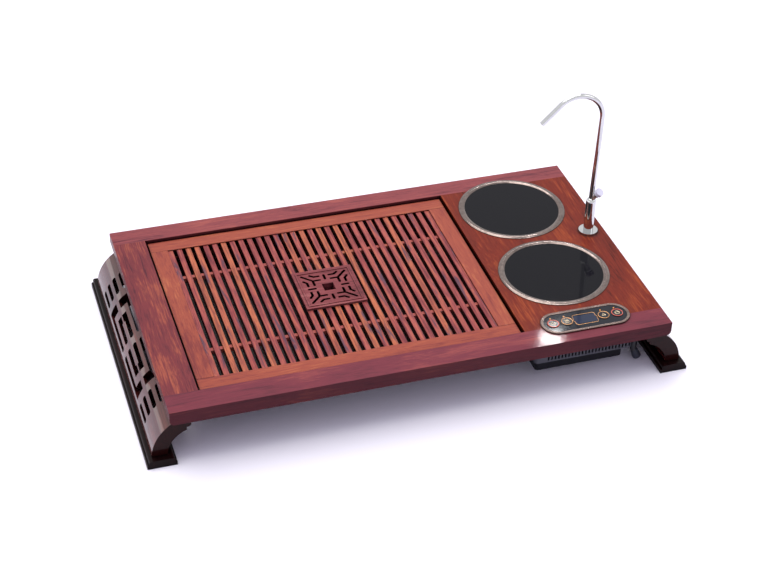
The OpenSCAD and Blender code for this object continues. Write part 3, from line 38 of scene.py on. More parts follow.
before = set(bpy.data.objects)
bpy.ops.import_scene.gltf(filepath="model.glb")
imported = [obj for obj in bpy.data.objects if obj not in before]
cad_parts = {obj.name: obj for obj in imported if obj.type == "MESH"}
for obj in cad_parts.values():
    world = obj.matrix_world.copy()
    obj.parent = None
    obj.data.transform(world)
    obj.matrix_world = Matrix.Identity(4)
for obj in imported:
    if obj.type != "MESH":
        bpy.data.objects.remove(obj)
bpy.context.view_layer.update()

# Lacquered wood: weights of the figure's four layers, and half the range that its colours span.
DRIFT_WEIGHT, BAND_WEIGHT, STREAK_WEIGHT, LINE_WEIGHT = 0.34, 0.16, 0.22, 0.28
FIGURE_REACH = 0.11
WANDER = 0.035
PORES_FROM, PORES_TO = 0.60, 0.68
WOOD_SPECULAR = 0.05
LACQUER_ROUGHNESS = 0.06
# Darkness of the painted shade in narrow gaps, as a share of the wood's dark tone.
GAP_SHADE_SHARE = 0.05
# Darkness of the painted shade on upright faces and the legs' ends, as a share of the wood's dark
# tone.
SHADE_AND_END_GRAIN_SHARE = 0.1

# Openness at which a gap is fully dark, and at which it isn't shaded any more.
GAP_CLOSED, GAP_OPEN = 0.52, 0.92
# A shade that reaches further than this comes from the piece's own cuts alone.
JOINT_REACH = 0.015

# The grate's slats: how many, and the share of a pitch that is gap.
SLAT_COUNT = 31
SLAT_GAP_SHARE = 0.406

# Easing of the edges.
MERGE_DISTANCE = 0.00001
FLAT_ANGLE = math.radians(0.2)
EDGE_ANGLE = math.radians(32)
NORMAL_WEIGHT = 80

# Soft lamps: name, place, target, size and power.
LAMPS = (
    ("Left panel", (-2.6, -0.5, 0.9), (-0.4, 0, 0.05), (1.6, 1.2), 6),
    ("Window patch", (0.880, 1.205, 1.315), (0.186, -0.22, 0.1), (0.06, 0.03), 0.5),
    ("Front strip", (0.2, -0.45, 2.0), (0.1, -0.2, 0.1), (1.9, 0.10), 5),
    ("Right panel", (2.4, -1.0, 1.9), (0.3, 0, 0.15), (0.8, 1.6), 8),
    ("Leg panel", (-1.95, 1.80, 0.22), (-0.42, 0, 0.05), (1.5, 0.4), 2.5),
    ("Back panel", (0.5, 1.5, 2.2), (0.1, 0.2, 0.1), (1.6, 0.5), 12),
)
SUN_STRENGTH = 1.38
SUN_SPREAD = math.radians(45)
SUN_DIRECTION = (0.24, -0.22, -0.94)
SKY_STRENGTH = 0.82
FLOOR_DIM = 0.3

# The camera, fitted to the corners and feet of the tray in the photograph.
CAMERA_LENS = 80.29
CAMERA_PLACE = (-0.7204, -2.1659, 1.7409)
CAMERA_RIGHT = (0.9524, -0.3037, 0.0253)
CAMERA_UP = (0.1585, 0.5645, 0.8101)
CAMERA_BACK = (-0.2602, -0.7676, 0.5858)


def length(name, description, default):
    """A size in metres."""
    return FloatProperty(name=name, description=description, default=default, unit="LENGTH")


def share(name, description, default):
    """A share between nothing and all."""
    return FloatProperty(name=name, description=description, default=default, min=0, max=1)


def colour(name, description, default):
    """A linear colour."""
    return FloatVectorProperty(
        name=name, description=description, default=default, subtype="COLOR", size=3, min=0, max=1
    )


class TraySizes(bpy.types.PropertyGroup):
    """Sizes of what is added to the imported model."""

    frame_edge: length("Frame edge", "Eased edge of the frame and legs", 0.0011)
    grate_edge: length("Grate edge", "Eased edge of the grate, slats and medallion", 0.0006)
    trim_edge: length("Trim edge", "Eased edge of plastic, glass and metal pieces", 0.0003)
    fret_reach: length("Fret shade", "How far the shade of the fretwork reaches", 0.02)
    gap_reach: length("Gap shade", "How far the shade of the narrow joints reaches", 0.008)
    # Painted shade on upright faces, and partly the legs' darker end grain.
    shade_and_end_grain: share("Shade and end grain", "How much darker upright faces and leg ends are", 0.45)
    slat_reach: length("Slat shade", "How far the shade between the slats reaches", 0.011)
    line: length("Line", "Width of the raised lines on the panel", 0.0008)
    ring_line: length("Ring line", "Width of the ring on a button", 0.0011)
    ring_inset: length("Ring inset", "From a button's rim edge to its ring's middle", 0.0019)
    icon: length("Icon", "Half height of the symbol on a button", 0.0042)
    outline_x: length("Outline width", "Half width of the outline round the display", 0.0206)
    outline_y: length("Outline depth", "Half depth of the outline round the display", 0.0124)
    floor: length("Floor", "Half side of the floor", 9.0)


class TrayColours(bpy.types.PropertyGroup):
    """Colours of the finishes."""

    rail_dark: colour("Rail dark", "Dark streaks of the rails", (0.10, 0.018, 0.028))
    rail_mid: colour("Rail", "Body of the rails", (0.180, 0.029, 0.042))
    rail_light: colour("Rail light", "Light streaks of the rails", (0.29, 0.060, 0.055))
    # The rear rail's tones are lighter and more orange than the front rail's: partly the rail's
    # own tone, partly painted light from behind.
    rear_mid: colour("Rear rail", "Body of the rear rail", (0.26, 0.056, 0.056))
    rear_light: colour("Rear rail light", "Light streaks of the rear rail", (0.37, 0.09, 0.07))
    stile_dark: colour("Stile dark", "Dark streaks of the stile", (0.085, 0.014, 0.022))
    stile_mid: colour("Stile", "Body of the stile", (0.185, 0.029, 0.032))
    stile_light: colour("Stile light", "Light streaks of the stile", (0.36, 0.085, 0.045))
    board_dark: colour("Board dark", "Dark streaks of the cooker board", (0.060, 0.007, 0.004))
    board_mid: colour("Board", "Body of the cooker board", (0.180, 0.021, 0.009))
    board_light: colour("Board light", "Light streaks of the cooker board", (0.33, 0.060, 0.016))
    leg_dark: colour("Leg dark", "Dark streaks of the legs", (0.035, 0.006, 0.006))
    leg_mid: colour("Leg", "Body of the legs", (0.085, 0.015, 0.013))
    leg_light: colour("Leg light", "Light streaks of the legs", (0.17, 0.034, 0.024))
    base_dark: colour("Base dark", "Dark streaks of the base rails", (0.003, 0.001, 0.001))
    base_mid: colour("Base", "Body of the base rails", (0.008, 0.002, 0.002))
    base_light: colour("Base light", "Light streaks of the base rails", (0.022, 0.004, 0.005))
    grate_dark: colour("Grate dark", "Dark streaks of the grate's frame", (0.20, 0.035, 0.030))
    grate_mid: colour("Grate", "Body of the grate's frame", (0.345, 0.076, 0.040))
    grate_light: colour("Grate light", "Light streaks of the grate's frame", (0.50, 0.15, 0.060))
    slat_red: colour("Slat red", "Reddest slats", (0.34, 0.070, 0.060))
    slat_rose: colour("Slat rose", "Rose slats", (0.41, 0.098, 0.078))
    slat_orange: colour("Slat orange", "Most orange slats", (0.50, 0.145, 0.065))
    slat_grey: colour("Slat grey", "Greyed slats", (0.085, 0.050, 0.075))
    medal_dark: colour("Medallion dark", "Dark streaks of the medallion", (0.13, 0.025, 0.028))
    medal_mid: colour("Medallion", "Body of the medallion", (0.23, 0.048, 0.050))
    medal_light: colour("Medallion light", "Light streaks of the medallion", (0.38, 0.12, 0.11))
    chrome: colour("Chrome", "Polished chrome", (0.62, 0.625, 0.64))
    # The hob rings' dark brown-grey tint is painted reflection of the wood round them.
    ring: colour("Hob ring", "Polished steel of the hob rings", (0.27, 0.215, 0.20))
    glass: colour("Glass", "Black hob glass", (0.006, 0.006, 0.008))
    steel: colour("Steel", "Plated or brushed steel", (0.60, 0.61, 0.63))
    copper: colour("Copper", "Lacquered copper wire", (0.60, 0.27, 0.12))
    aluminium: colour("Aluminium", "Matt aluminium", (0.72, 0.73, 0.75))
    brass: colour("Brass", "Plain brass", (0.70, 0.52, 0.22))
    housing: colour("Housing", "Blue-grey housing plastic", (0.060, 0.061, 0.076))
    black: colour("Black", "Black moulded plastic", (0.008, 0.008, 0.011))
    pump: colour("Pump", "Dark grey pump body", (0.05, 0.055, 0.07))
    board_green: colour("Circuit green", "Solder mask", (0.012, 0.085, 0.030))
    cable: colour("Cable", "Pale grey flat cable", (0.42, 0.43, 0.46))
    hose: colour("Hose", "Milky silicone", (0.62, 0.60, 0.54))
    nozzle: colour("Nozzle", "Soft grey-blue nozzle", (0.020, 0.024, 0.040))
    rubber: colour("Rubber", "Black rubber", (0.012, 0.012, 0.012))
    bezel: colour("Bezel", "Plated trim of the panel", (0.27, 0.20, 0.18))
    panel: colour("Panel", "Blue-black gloss of the panel", (0.006, 0.008, 0.014))
    window: colour("Window", "Display window", (0.010, 0.018, 0.045))
    lamp: colour("Lamp", "Amber lamp lens", (0.75, 0.30, 0.05))
    knob: colour("Knob", "Pale grey knob", (0.58, 0.58, 0.64))
    gold: colour("Gold", "Gold lines on the panel", (0.78, 0.42, 0.20))
    red_ring: colour("Red ring", "Red-orange rings of the outer buttons", (0.78, 0.10, 0.045))
    symbol: colour("Symbol", "Pale symbols on the buttons", (0.86, 0.70, 0.48))
    floor: colour("Floor", "Floor", (1.0, 1.0, 1.0))
    sunlight: colour("Sunlight", "Light from above", (1.0, 0.98, 0.93))
    sky: colour("Sky", "Light all round", (0.79, 0.74, 1.0))


class Recipe:
    """The node tree of one material, built step by step."""

    def __init__(self, name):
        self.material = bpy.data.materials.new(name)
        self.material.use_nodes = True
        self.tree = self.material.node_tree
        self.tree.nodes.clear()
        self.place = self.add("ShaderNodeTexCoord").outputs["Object"]

    def add(self, kind, inputs=None, **settings):
        """A node with its settings, and its inputs set or linked."""
        node = self.tree.nodes.new(kind)
        for key, value in settings.items():
            setattr(node, key, value)
        for key, value in (inputs or {}).items():
            self.put(node.inputs[key], value)
        return node

    def put(self, socket, value):
        """Links a socket to another, or sets its value."""
        if isinstance(value, bpy.types.NodeSocket):
            self.tree.links.new(value, socket)
        elif socket.type == "RGBA":
            socket.default_value = (*value, 1)
        else:
            socket.default_value = value

    def mapped(self, source, scale, shift=(0, 0, 0)):
        """Stretched and shifted coordinates."""
        inputs = {"Vector": source, "Scale": scale, "Location": shift}
        return self.add("ShaderNodeMapping", inputs).outputs["Vector"]

    def noise(self, source, scale, detail=4, roughness=0.55, distortion=0):
        """Soft noise from 0 to 1; scale is in cells per metre."""
        inputs = {
            "Vector": source,
            "Scale": scale,
            "Detail": detail,
            "Roughness": roughness,
            "Distortion": distortion,
        }
        return self.add("ShaderNodeTexNoise", inputs).outputs["Fac"]

    def spread(self, source, low, high, to_low=0, to_high=1):
        """A value brought from one range to another."""
        inputs = {
            "Value": source,
            "From Min": low,
            "From Max": high,
            "To Min": to_low,
            "To Max": to_high,
        }
        return self.add("ShaderNodeMapRange", inputs).outputs["Result"]

    def combine(self, first, second, operation="ADD"):
        """Two values joined by an operation."""
        node = self.add("ShaderNodeMath", operation=operation)
        self.put(node.inputs[0], first)
        self.put(node.inputs[1], second)
        return node.outputs["Value"]

    def ramp(self, source, stops):
        """A value turned into a colour by stops of (place, colour)."""
        node = self.add("ShaderNodeValToRGB", {"Fac": source})
        elements = node.color_ramp.elements
        while len(elements) < len(stops):
            elements.new(1)
        for element, (place, tone) in zip(elements, stops):
            element.position = place
            element.color = (*tone, 1)
        return node.outputs["Color"]

    def mix(self, factor, first, second, blend="MIX"):
        """Two colours mixed."""
        node = self.add("ShaderNodeMix", data_type="RGBA", blend_type=blend)
        self.put(node.inputs["Factor"], factor)
        self.put([s for s in node.inputs if s.name == "A" and s.type == "RGBA"][0], first)
        self.put([s for s in node.inputs if s.name == "B" and s.type == "RGBA"][0], second)
        return [s for s in node.outputs if s.type == "RGBA"][0]

    def paint_gap_shade(self, tone, gap_shade_tone, reach, local=True):
        """Painted shade: a tone that darkens in narrow gaps, the piece's own ones or all."""
        inputs = {"Distance": reach}
        gap = self.add("ShaderNodeAmbientOcclusion", inputs, samples=4, only_local=local)
        return self.mix(self.spread(gap.outputs["AO"], GAP_CLOSED, GAP_OPEN), gap_shade_tone, tone)

    def bump(self, height, distance, strength=1):
        """A normal that follows a height."""
        inputs = {"Height": height, "Distance": distance, "Strength": strength}
        return self.add("ShaderNodeBump", inputs).outputs["Normal"]

    def finish(self, inputs):
        """The surface shader, and the finished material."""
        shader = self.add("ShaderNodeBsdfPrincipled", inputs)
        output = self.add("ShaderNodeOutputMaterial")
        self.tree.links.new(shader.outputs["BSDF"], output.inputs["Surface"])
        return self.material


def along_grain(grain, stretch):
    """Scales that stretch a pattern along one axis."""
    return tuple(stretch if axis == grain else 1 for axis in "xyz")


def scaled(tone, factor):
    """A lighter or darker tone."""
    return tuple(factor * part for part in tone)


def wood(name, tones, grain, shift=(0, 0, 0), coat=0.3, contrast=1.0, reach_in=0.008, shade_and_end_grain=None):
    """Lacquered rosewood: uneven streaks, fine fibres and short dark pores along the grain.

    The last argument is (axis, start, end, amount): by their squared normal it darkens faces with
    painted shade, partly the darker end grain where they are ends, and dulls their lacquer.
    """
    r = Recipe(name)
    dark, mid, light = tones
    slow = r.noise(r.mapped(r.place, along_grain(grain, 0.25), shift), 7, 2)
    wander = r.add("ShaderNodeCombineXYZ", {axis.upper(): slow for axis in "xyz"})
    wide = r.mapped(r.place, along_grain(grain, 0.07), shift)
    bent = r.add("ShaderNodeVectorMath", {0: wide}, operation="MULTIPLY_ADD")
    r.put(bent.inputs[0], wander.outputs["Vector"])
    r.put(bent.inputs[1], (WANDER, WANDER, WANDER))
    r.put(bent.inputs[2], wide)
    figure = bent.outputs["Vector"]
    drift = r.noise(r.mapped(r.place, along_grain(grain, 0.45), shift), 15, 3, 0.5, 0.5)
    bands = r.noise(figure, 60, 3, 0.5, 0.4)
    streaks = r.noise(figure, 210, 5, 0.6)
    lines = r.noise(r.mapped(figure, along_grain(grain, 0.9)), 520, 3, 0.6)
    fibres = r.noise(r.mapped(figure, along_grain(grain, 0.4)), 800, 3)
    pores = r.noise(r.mapped(r.place, along_grain(grain, 0.045), shift), 1700, 2)
    drift_part = r.combine(drift, DRIFT_WEIGHT, "MULTIPLY")
    band_part = r.combine(bands, BAND_WEIGHT, "MULTIPLY")
    streak_part = r.combine(streaks, STREAK_WEIGHT, "MULTIPLY")
    line_part = r.combine(lines, LINE_WEIGHT, "MULTIPLY")
    broad = r.combine(drift_part, band_part)
    figure_tone = r.combine(broad, r.combine(streak_part, line_part))
    reach = FIGURE_REACH / contrast
    body = r.ramp(
        r.spread(figure_tone, 0.5 - reach, 0.5 + reach),
        [(0.02, dark), (0.38, mid), (0.58, mid), (0.97, light)],
    )
    combed = r.mix(r.spread(fibres, 0.42, 0.62, 0, 0.30), body, dark)
    pitted = r.spread(pores, PORES_FROM, PORES_TO)
    tone = r.mix(r.combine(pitted, 0.65, "MULTIPLY"), combed, dark)
    # Painted shade on upright faces, partly the darker end grain where they are ends; the lacquer
    # is dulled there too.
    if shade_and_end_grain:
        axis, start, end, amount = shade_and_end_grain
        normal = r.add("ShaderNodeNewGeometry").outputs["Normal"]
        turned = r.add("ShaderNodeSeparateXYZ", {"Vector": normal}).outputs[axis]
        facing = r.combine(turned, turned, "MULTIPLY")
        shade_and_end_grain_tone = scaled(dark, SHADE_AND_END_GRAIN_SHARE)
        tone = r.mix(r.spread(facing, start, end, 0, amount), tone, shade_and_end_grain_tone)
        coat = r.spread(facing, start, end, coat, coat * (1 - amount))
    # Painted shade in narrow gaps: only the piece's own cuts when it reaches further than
    # JOINT_REACH, all pieces near when it is shorter.
    if reach_in:
        tone = r.paint_gap_shade(tone, scaled(dark, GAP_SHADE_SHARE), reach_in, reach_in > JOINT_REACH)
    peel = r.noise(r.place, 55, 1)
    return r.finish(
        {
            "Base Color": tone,
            "Roughness": r.spread(streaks, 0.3, 0.7, 0.30, 0.46),
            "Specular IOR Level": WOOD_SPECULAR,
            "Normal": r.bump(r.combine(pitted, fibres, "SUBTRACT"), 0.00006, 0.5),
            "Coat Weight": coat,
            "Coat Roughness": LACQUER_ROUGHNESS,
            "Coat Normal": r.bump(peel, 0.0004, 0.14),
        }
    )


def slat_wood(name, colours, start, pitch, reach_in):
    """Lacquered slats, each from another stick: its own tone, grain and greyed streaks, and
    painted shade in the gaps.
    """
    r = Recipe(name)
    across = r.add("ShaderNodeSeparateXYZ", {"Vector": r.place}).outputs["X"]
    lane = r.combine(r.combine(r.combine(across, start, "SUBTRACT"), pitch, "DIVIDE"), 0, "FLOOR")
    chance = r.add("ShaderNodeTexWhiteNoise", {"W": lane}, noise_dimensions="1D")
    own = r.add("ShaderNodeVectorMath", {0: r.place}, operation="ADD")
    r.put(own.inputs[1], chance.outputs["Color"])
    wide = r.mapped(own.outputs["Vector"], along_grain("y", 0.07))
    streaks = r.noise(wide, 210, 5, 0.6, 0.3)
    lines = r.noise(r.mapped(wide, along_grain("y", 0.7)), 480, 2)
    greyed = r.noise(r.mapped(own.outputs["Vector"], along_grain("y", 0.12)), 95, 3, 0.6, 0.4)
    pores = r.noise(r.mapped(own.outputs["Vector"], along_grain("y", 0.04)), 1600, 2)
    stick = r.ramp(
        chance.outputs["Value"],
        [
            (0.00, colours.slat_red),
            (0.40, colours.slat_rose),
            (0.74, colours.slat_red),
            (0.82, colours.slat_orange),
            (1.00, colours.slat_orange),
        ],
    )
    shaded = r.mix(r.spread(streaks, 0.46, 0.68, 0, 0.75), stick, colours.stile_dark)
    lit = r.mix(r.spread(streaks, 0.50, 0.34, 0, 0.50), shaded, colours.grate_light)
    greyer = r.mix(r.spread(greyed, 0.58, 0.66, 0, 0.85), lit, colours.slat_grey)
    tone = r.mix(r.spread(lines, 0.46, 0.66, 0, 0.45), greyer, colours.rail_dark)
    pitted = r.spread(pores, PORES_FROM, PORES_TO)
    flecked = r.mix(r.combine(pitted, 0.6, "MULTIPLY"), tone, colours.rail_dark)
    # Painted shade in the gaps between the slats and where other pieces stand close to them.
    gap_shade_tone = scaled(colours.rail_dark, GAP_SHADE_SHARE)
    return r.finish(
        {
            "Base Color": r.paint_gap_shade(flecked, gap_shade_tone, reach_in),
            "Roughness": r.spread(streaks, 0.3, 0.7, 0.32, 0.48),
            "Specular IOR Level": WOOD_SPECULAR,
            "Normal": r.bump(r.combine(pitted, lines, "SUBTRACT"), 0.00006, 0.5),
            "Coat Weight": 0.25,
            "Coat Roughness": 0.12,
        }
    )


def metal(name, tone, rough=(0.05, 0.14), grain=None, cells=400, depth=0.00001, worn=0.86):
    """Bare or plated metal with faint wear; grain stretches it into brush marks."""
    r = Recipe(name)
    source = r.mapped(r.place, along_grain(grain, 0.02)) if grain else r.place
    marks = r.noise(source, cells, 4, 0.6)
    smudge = r.noise(r.place, 28, 3)
    both = r.combine(r.combine(marks, 0.5, "MULTIPLY"), r.combine(smudge, 0.5, "MULTIPLY"))
    shade = scaled(tone, worn)
    return r.finish(
        {
            "Base Color": r.mix(r.spread(both, 0.35, 0.65), tone, shade),
            "Metallic": 1,
            "Roughness": r.spread(both, 0.35, 0.65, *rough),
            "Normal": r.bump(marks, depth, 0.4),
        }
    )


def winding(name, tone):
    """Enamelled wire, seen as fine ridges round the vertical."""
    r = Recipe(name)
    marks = r.noise(r.place, 1400, 3)
    turns = r.noise(r.mapped(r.place, (1, 1, 3)), 600, 2)
    dark = scaled(tone, 0.45)
    return r.finish(
        {
            "Base Color": r.mix(r.spread(turns, 0.4, 0.6), tone, dark),
            "Metallic": 0.8,
            "Roughness": r.spread(marks, 0.3, 0.7, 0.25, 0.45),
            "Normal": r.bump(turns, 0.0002, 0.8),
        }
    )


def plastic(name, tone, rough=(0.42, 0.56), cells=1500, depth=0.00004, coat=0, level=0.5):
    """Moulded plastic with a fine spark texture and slight unevenness of tone."""
    r = Recipe(name)
    grit = r.noise(r.place, cells, 2, 0.6)
    cloud = r.noise(r.place, 22, 3)
    pale = tuple(min(1, 1.25 * part + 0.004) for part in tone)
    return r.finish(
        {
            "Base Color": r.mix(r.spread(cloud, 0.3, 0.7), tone, pale),
            "Roughness": r.spread(r.combine(grit, cloud, "MULTIPLY"), 0.12, 0.40, *rough),
            "Specular IOR Level": level,
            "Normal": r.bump(grit, depth, 0.6),
            "Coat Weight": coat,
            "Coat Roughness": 0.03,
        }
    )


def gloss(name, tone, rough=(0.03, 0.08), dust=0.008, glow=0.0, level=0.4):
    """Polished glass or plastic with faint dust and wiping marks."""
    r = Recipe(name)
    specks = r.noise(r.place, 2200, 2)
    wiped = r.noise(r.mapped(r.place, (1, 0.25, 1)), 60, 4)
    dusty = tuple(part + dust for part in tone)
    return r.finish(
        {
            "Base Color": r.mix(r.spread(specks, 0.58, 0.75), tone, dusty),
            "Roughness": r.spread(wiped, 0.3, 0.7, *rough),
            "Specular IOR Level": level,
            "Normal": r.bump(wiped, 0.00002, 0.3),
            "Emission Color": tone,
            "Emission Strength": glow,
        }
    )


def soft(name, tone, clear=0.0):
    """Rubber or silicone with a soft sheen."""
    r = Recipe(name)
    cloud = r.noise(r.place, 120, 4)
    grit = r.noise(r.place, 2600, 2)
    shade = scaled(tone, 0.78)
    return r.finish(
        {
            "Base Color": r.mix(r.spread(cloud, 0.35, 0.65), tone, shade),
            "Roughness": r.spread(cloud, 0.3, 0.7, 0.40, 0.58),
            "Normal": r.bump(grit, 0.00003, 0.5),
            "Transmission Weight": clear,
            "Subsurface Weight": 0.05,
            "Subsurface Scale": 0.002,
        }
    )


def circuit(name, tone, copper):
    """Solder mask over copper tracks, with pads."""
    r = Recipe(name)
    tracks = r.add("ShaderNodeTexBrick", {"Vector": r.place, "Scale": 140})
    tracks.inputs["Mortar Size"].default_value = 0.03
    pads = r.add("ShaderNodeTexVoronoi", {"Vector": r.place, "Scale": 190})
    raised = scaled(tone, 1.7)
    masked = r.mix(tracks.outputs["Fac"], tone, raised)
    spots = r.spread(pads.outputs["Distance"], 0.16, 0.12)
    return r.finish(
        {
            "Base Color": r.mix(spots, masked, copper),
            "Roughness": r.spread(r.noise(r.place, 300), 0.3, 0.7, 0.22, 0.4),
            "Normal": r.bump(tracks.outputs["Fac"], 0.00003, 0.5),
        }
    )


def node(name):
    """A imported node's object."""
    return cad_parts[name]


def paint(names, material):
    """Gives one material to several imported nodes."""
    for name in names:
        mesh = node(name).data
        mesh.materials.clear()
        mesh.materials.append(material)


def ease(names, width, segments=2, flatten=True):
    """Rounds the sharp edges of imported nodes; flatten first merges their flat faces."""
    for name in names:
        piece = node(name)
        mesh = piece.data
        if mesh.has_custom_normals:
            mesh.attributes.remove(mesh.attributes["custom_normal"])
        for key in ("sharp_edge", "sharp_face"):
            if key in mesh.attributes:
                mesh.attributes.remove(mesh.attributes[key])
        mesh.polygons.foreach_set("use_smooth", [True] * len(mesh.polygons))
        weld = piece.modifiers.new("Weld", "WELD")
        weld.merge_threshold = MERGE_DISTANCE
        if flatten:
            planar = piece.modifiers.new("Planar", "DECIMATE")
            planar.decimate_type = "DISSOLVE"
            planar.angle_limit = FLAT_ANGLE
        bevel = piece.modifiers.new("Eased", "BEVEL")
        bevel.width = width
        bevel.segments = segments
        bevel.limit_method = "ANGLE"
        bevel.angle_limit = EDGE_ANGLE
        bevel.miter_outer = "MITER_ARC"
        weighted = piece.modifiers.new("Weighted", "WEIGHTED_NORMAL")
        weighted.keep_sharp = False
        weighted.weight = NORMAL_WEIGHT


def add_piece(name, mesh, material, body):
    """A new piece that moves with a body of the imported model."""
    piece = bpy.data.objects.new(name, mesh)
    bpy.context.scene.collection.objects.link(piece)
    mesh.materials.clear()
    mesh.materials.append(material)
    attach(piece, body)


def line_mesh(name, strokes, width):
    """Raised lines: each stroke is (points, closed), swept with a round section."""
    curve = bpy.data.curves.new(name, "CURVE")
    curve.dimensions = "3D"
    curve.bevel_depth = width / 2
    curve.bevel_resolution = 2
    curve.use_fill_caps = True
    for points, closed in strokes:
        spline = curve.splines.new("POLY")
        spline.points.add(len(points) - 1)
        for target, point in zip(spline.points, points):
            target.co = (*point, 1)
        spline.use_cyclic_u = closed
    holder = bpy.data.objects.new(name, curve)
    bpy.context.scene.collection.objects.link(holder)
    mesh = bpy.data.meshes.new_from_object(holder)
    bpy.data.objects.remove(holder)
    mesh.polygons.foreach_set("use_smooth", [True] * len(mesh.polygons))
    mesh.name = name
    return mesh


def arc(radius, start, end, steps=24, centre=(0, 0)):
    """Points of an arc, in degrees counted from +X."""
    turns = [math.radians(start + (end - start) * i / steps) for i in range(steps + 1)]
    return [(centre[0] + radius * math.cos(t), centre[1] + radius * math.sin(t)) for t in turns]


def power_icon(s):
    """An open ring with a bar."""
    return [(arc(s * 0.85, 125, 415), False), ([(0, s * 0.25), (0, s * 1.05)], False)]


def heat_icon(s):
    """Three rising waves over a bar."""
    strokes = []
    for x in (-0.55, 0, 0.55):
        wave = [
            (s * (x + 0.16 * math.sin(math.radians(i * 36))), s * (-0.35 + 1.3 * i / 10))
            for i in range(11)
        ]
        strokes.append((wave, False))
    strokes.append(([(-0.9 * s, -0.75 * s), (0.9 * s, -0.75 * s)], False))
    return strokes


def drop_icon(s):
    """A drop of water."""
    centre = (0, -0.25 * s)
    bowl = arc(s * 0.62, 205, -25, 20, centre)
    glint = arc(s * 0.30, 200, 280, 8, centre)
    return [([(0, s * 1.0)] + bowl[::-1], True), (glint, False)]


def bowl_icon(s):
    """A lidded bowl with two handles."""
    side = [(0.55, -0.8), (0.75, -0.55), (0.75, 0.25)]
    body = [(-x, y) for x, y in side[::-1]] + side
    return [
        ([(s * x, s * y) for x, y in body], True),
        (arc(s * 0.75, 160, 20, 12, (0, 0.12 * s)), False),
        ([(-1.1 * s, 0.05 * s), (-0.75 * s, 0.05 * s)], False),
        ([(0.75 * s, 0.05 * s), (1.1 * s, 0.05 * s)], False),
    ]


def placed(strokes, centre, height):
    """Flat strokes moved to a centre and height."""
    return [
        ([(x + centre.x, y + centre.y, height) for x, y in points], closed)
        for points, closed in strokes
    ]


class TRAY_OT_finish_frame(bpy.types.Operator):
    """Lacquers the rails, the stile and the board of the top frame."""

    bl_idname = "tray.finish_frame"
    bl_label = "Finish frame"

    def execute(self, context):
        c = context.scene.tray_colours
        s = context.scene.tray_sizes
        # Painted shade in the joints and on the upright faces.
        shade = {"reach_in": s.gap_reach, "shade_and_end_grain": ("Z", 0.5, 0.15, s.shade_and_end_grain)}
        rails = (c.rail_dark, c.rail_mid, c.rail_light)
        # The shift places the grain's slow drift darker at the rail's left: painted shade, as the
        # light falls off toward the front left.
        paint(["front_rail"], wood("Front rail wood", rails, "x", (-0.41, 0.2, 0), **shade))
        rear = (c.rail_dark, c.rear_mid, c.rear_light)
        paint(["rear_rail"], wood("Rear rail wood", rear, "x", (3.1, 1.7, 0), **shade))
        stile = (c.stile_dark, c.stile_mid, c.stile_light)
        # The shift places the stile's light drift at its rear: painted light from behind.
        paint(["left_stile"], wood("Stile wood", stile, "y", (0.4, 5.246, 0), 0.3, 1.3, **shade))
        board = (c.board_dark, c.board_mid, c.board_light)
        paint(["cooker_board"], wood("Board wood", board, "y", (2.2, 0.9, 0), 0.16, **shade))
        ease(["front_rail", "rear_rail", "left_stile", "cooker_board"], s.frame_edge, 3)
        return {"FINISHED"}


class TRAY_OT_finish_legs(bpy.types.Operator):
    """Lacquers the fretted leg boards and their base rails."""

    bl_idname = "tray.finish_legs"
    bl_label = "Finish legs"

    def execute(self, context):
        c = context.scene.tray_colours
        s = context.scene.tray_sizes
        legs = (c.leg_dark, c.leg_mid, c.leg_light)
        base = (c.base_dark, c.base_mid, c.base_light)
        # Painted shade on the legs' ends, partly their darker end grain; the fretwork and the
        # base rails' joints get painted gap shade.
        ends = ("Y", 0.4, 0.8, 0.8)
        for side, shift in (("left", (0, 0.3, 0)), ("right", (1.3, 2.1, 0))):
            panel = wood(side + " leg wood", legs, "y", shift, 1.0, 1, s.fret_reach, ends)
            paint([side + "_leg_panel"], panel)
            foot = wood(side + " base wood", base, "y", shift, 0.12, 1, s.gap_reach)
            paint([side + "_base_rail"], foot)
        ease(["left_base_rail", "right_base_rail"], s.frame_edge * 0.6, 2)
        ease(["left_leg_panel", "right_leg_panel"], s.frame_edge * 0.5, 2)
        return {"FINISHED"}


class TRAY_OT_finish_grate(bpy.types.Operator):
    """Lacquers the grate's frame, slats, battens and medallion."""

    bl_idname = "tray.finish_grate"
    bl_label = "Finish grate"

    def execute(self, context):
        c = context.scene.tray_colours
        s = context.scene.tray_sizes
        rails = (c.grate_dark, c.grate_mid, c.grate_light)
        # Each grate piece but the battens gets painted shade in its narrow gaps.
        paint(["grate_front_rail"], wood("Grate front wood", rails, "x", (0, 2.4, 0), 0.3))
        paint(["grate_rear_rail"], wood("Grate rear wood", rails, "x", (1.9, 0, 0), 0.3))
        paint(["grate_left_stile"], wood("Grate left wood", rails, "y", (0.7, 0, 0), 0.3))
        paint(["grate_right_stile"], wood("Grate right wood", rails, "y", (4.4, 0, 0), 0.3))
        low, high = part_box("slats")
        pitch = (high.x - low.x) / (SLAT_COUNT - SLAT_GAP_SHARE)
        start = low.x - pitch * SLAT_GAP_SHARE / 2
        paint(["slats"], slat_wood("Slat wood", c, start, pitch, s.slat_reach))
        battens = (c.grate_dark, c.slat_rose, c.grate_light)
        crossing = wood("Batten wood", battens, "x", (0, 7.7, 0), 0.3, 1, 0)
        paint(["front_batten", "rear_batten"], crossing)
        medal = (c.medal_dark, c.medal_mid, c.medal_light)
        pierced = wood("Medallion wood", medal, "x", (0, 3.3, 0), 0.3, 1.2, s.slat_reach)
        paint(["medallion"], pierced)
        edge = s.grate_edge
        sides = ["grate_front_rail", "grate_rear_rail", "grate_left_stile", "grate_right_stile"]
        ease(sides, edge * 1.4, 3, flatten=False)
        ease(["slats", "front_batten", "rear_batten", "medallion"], edge, 2)
        return {"FINISHED"}


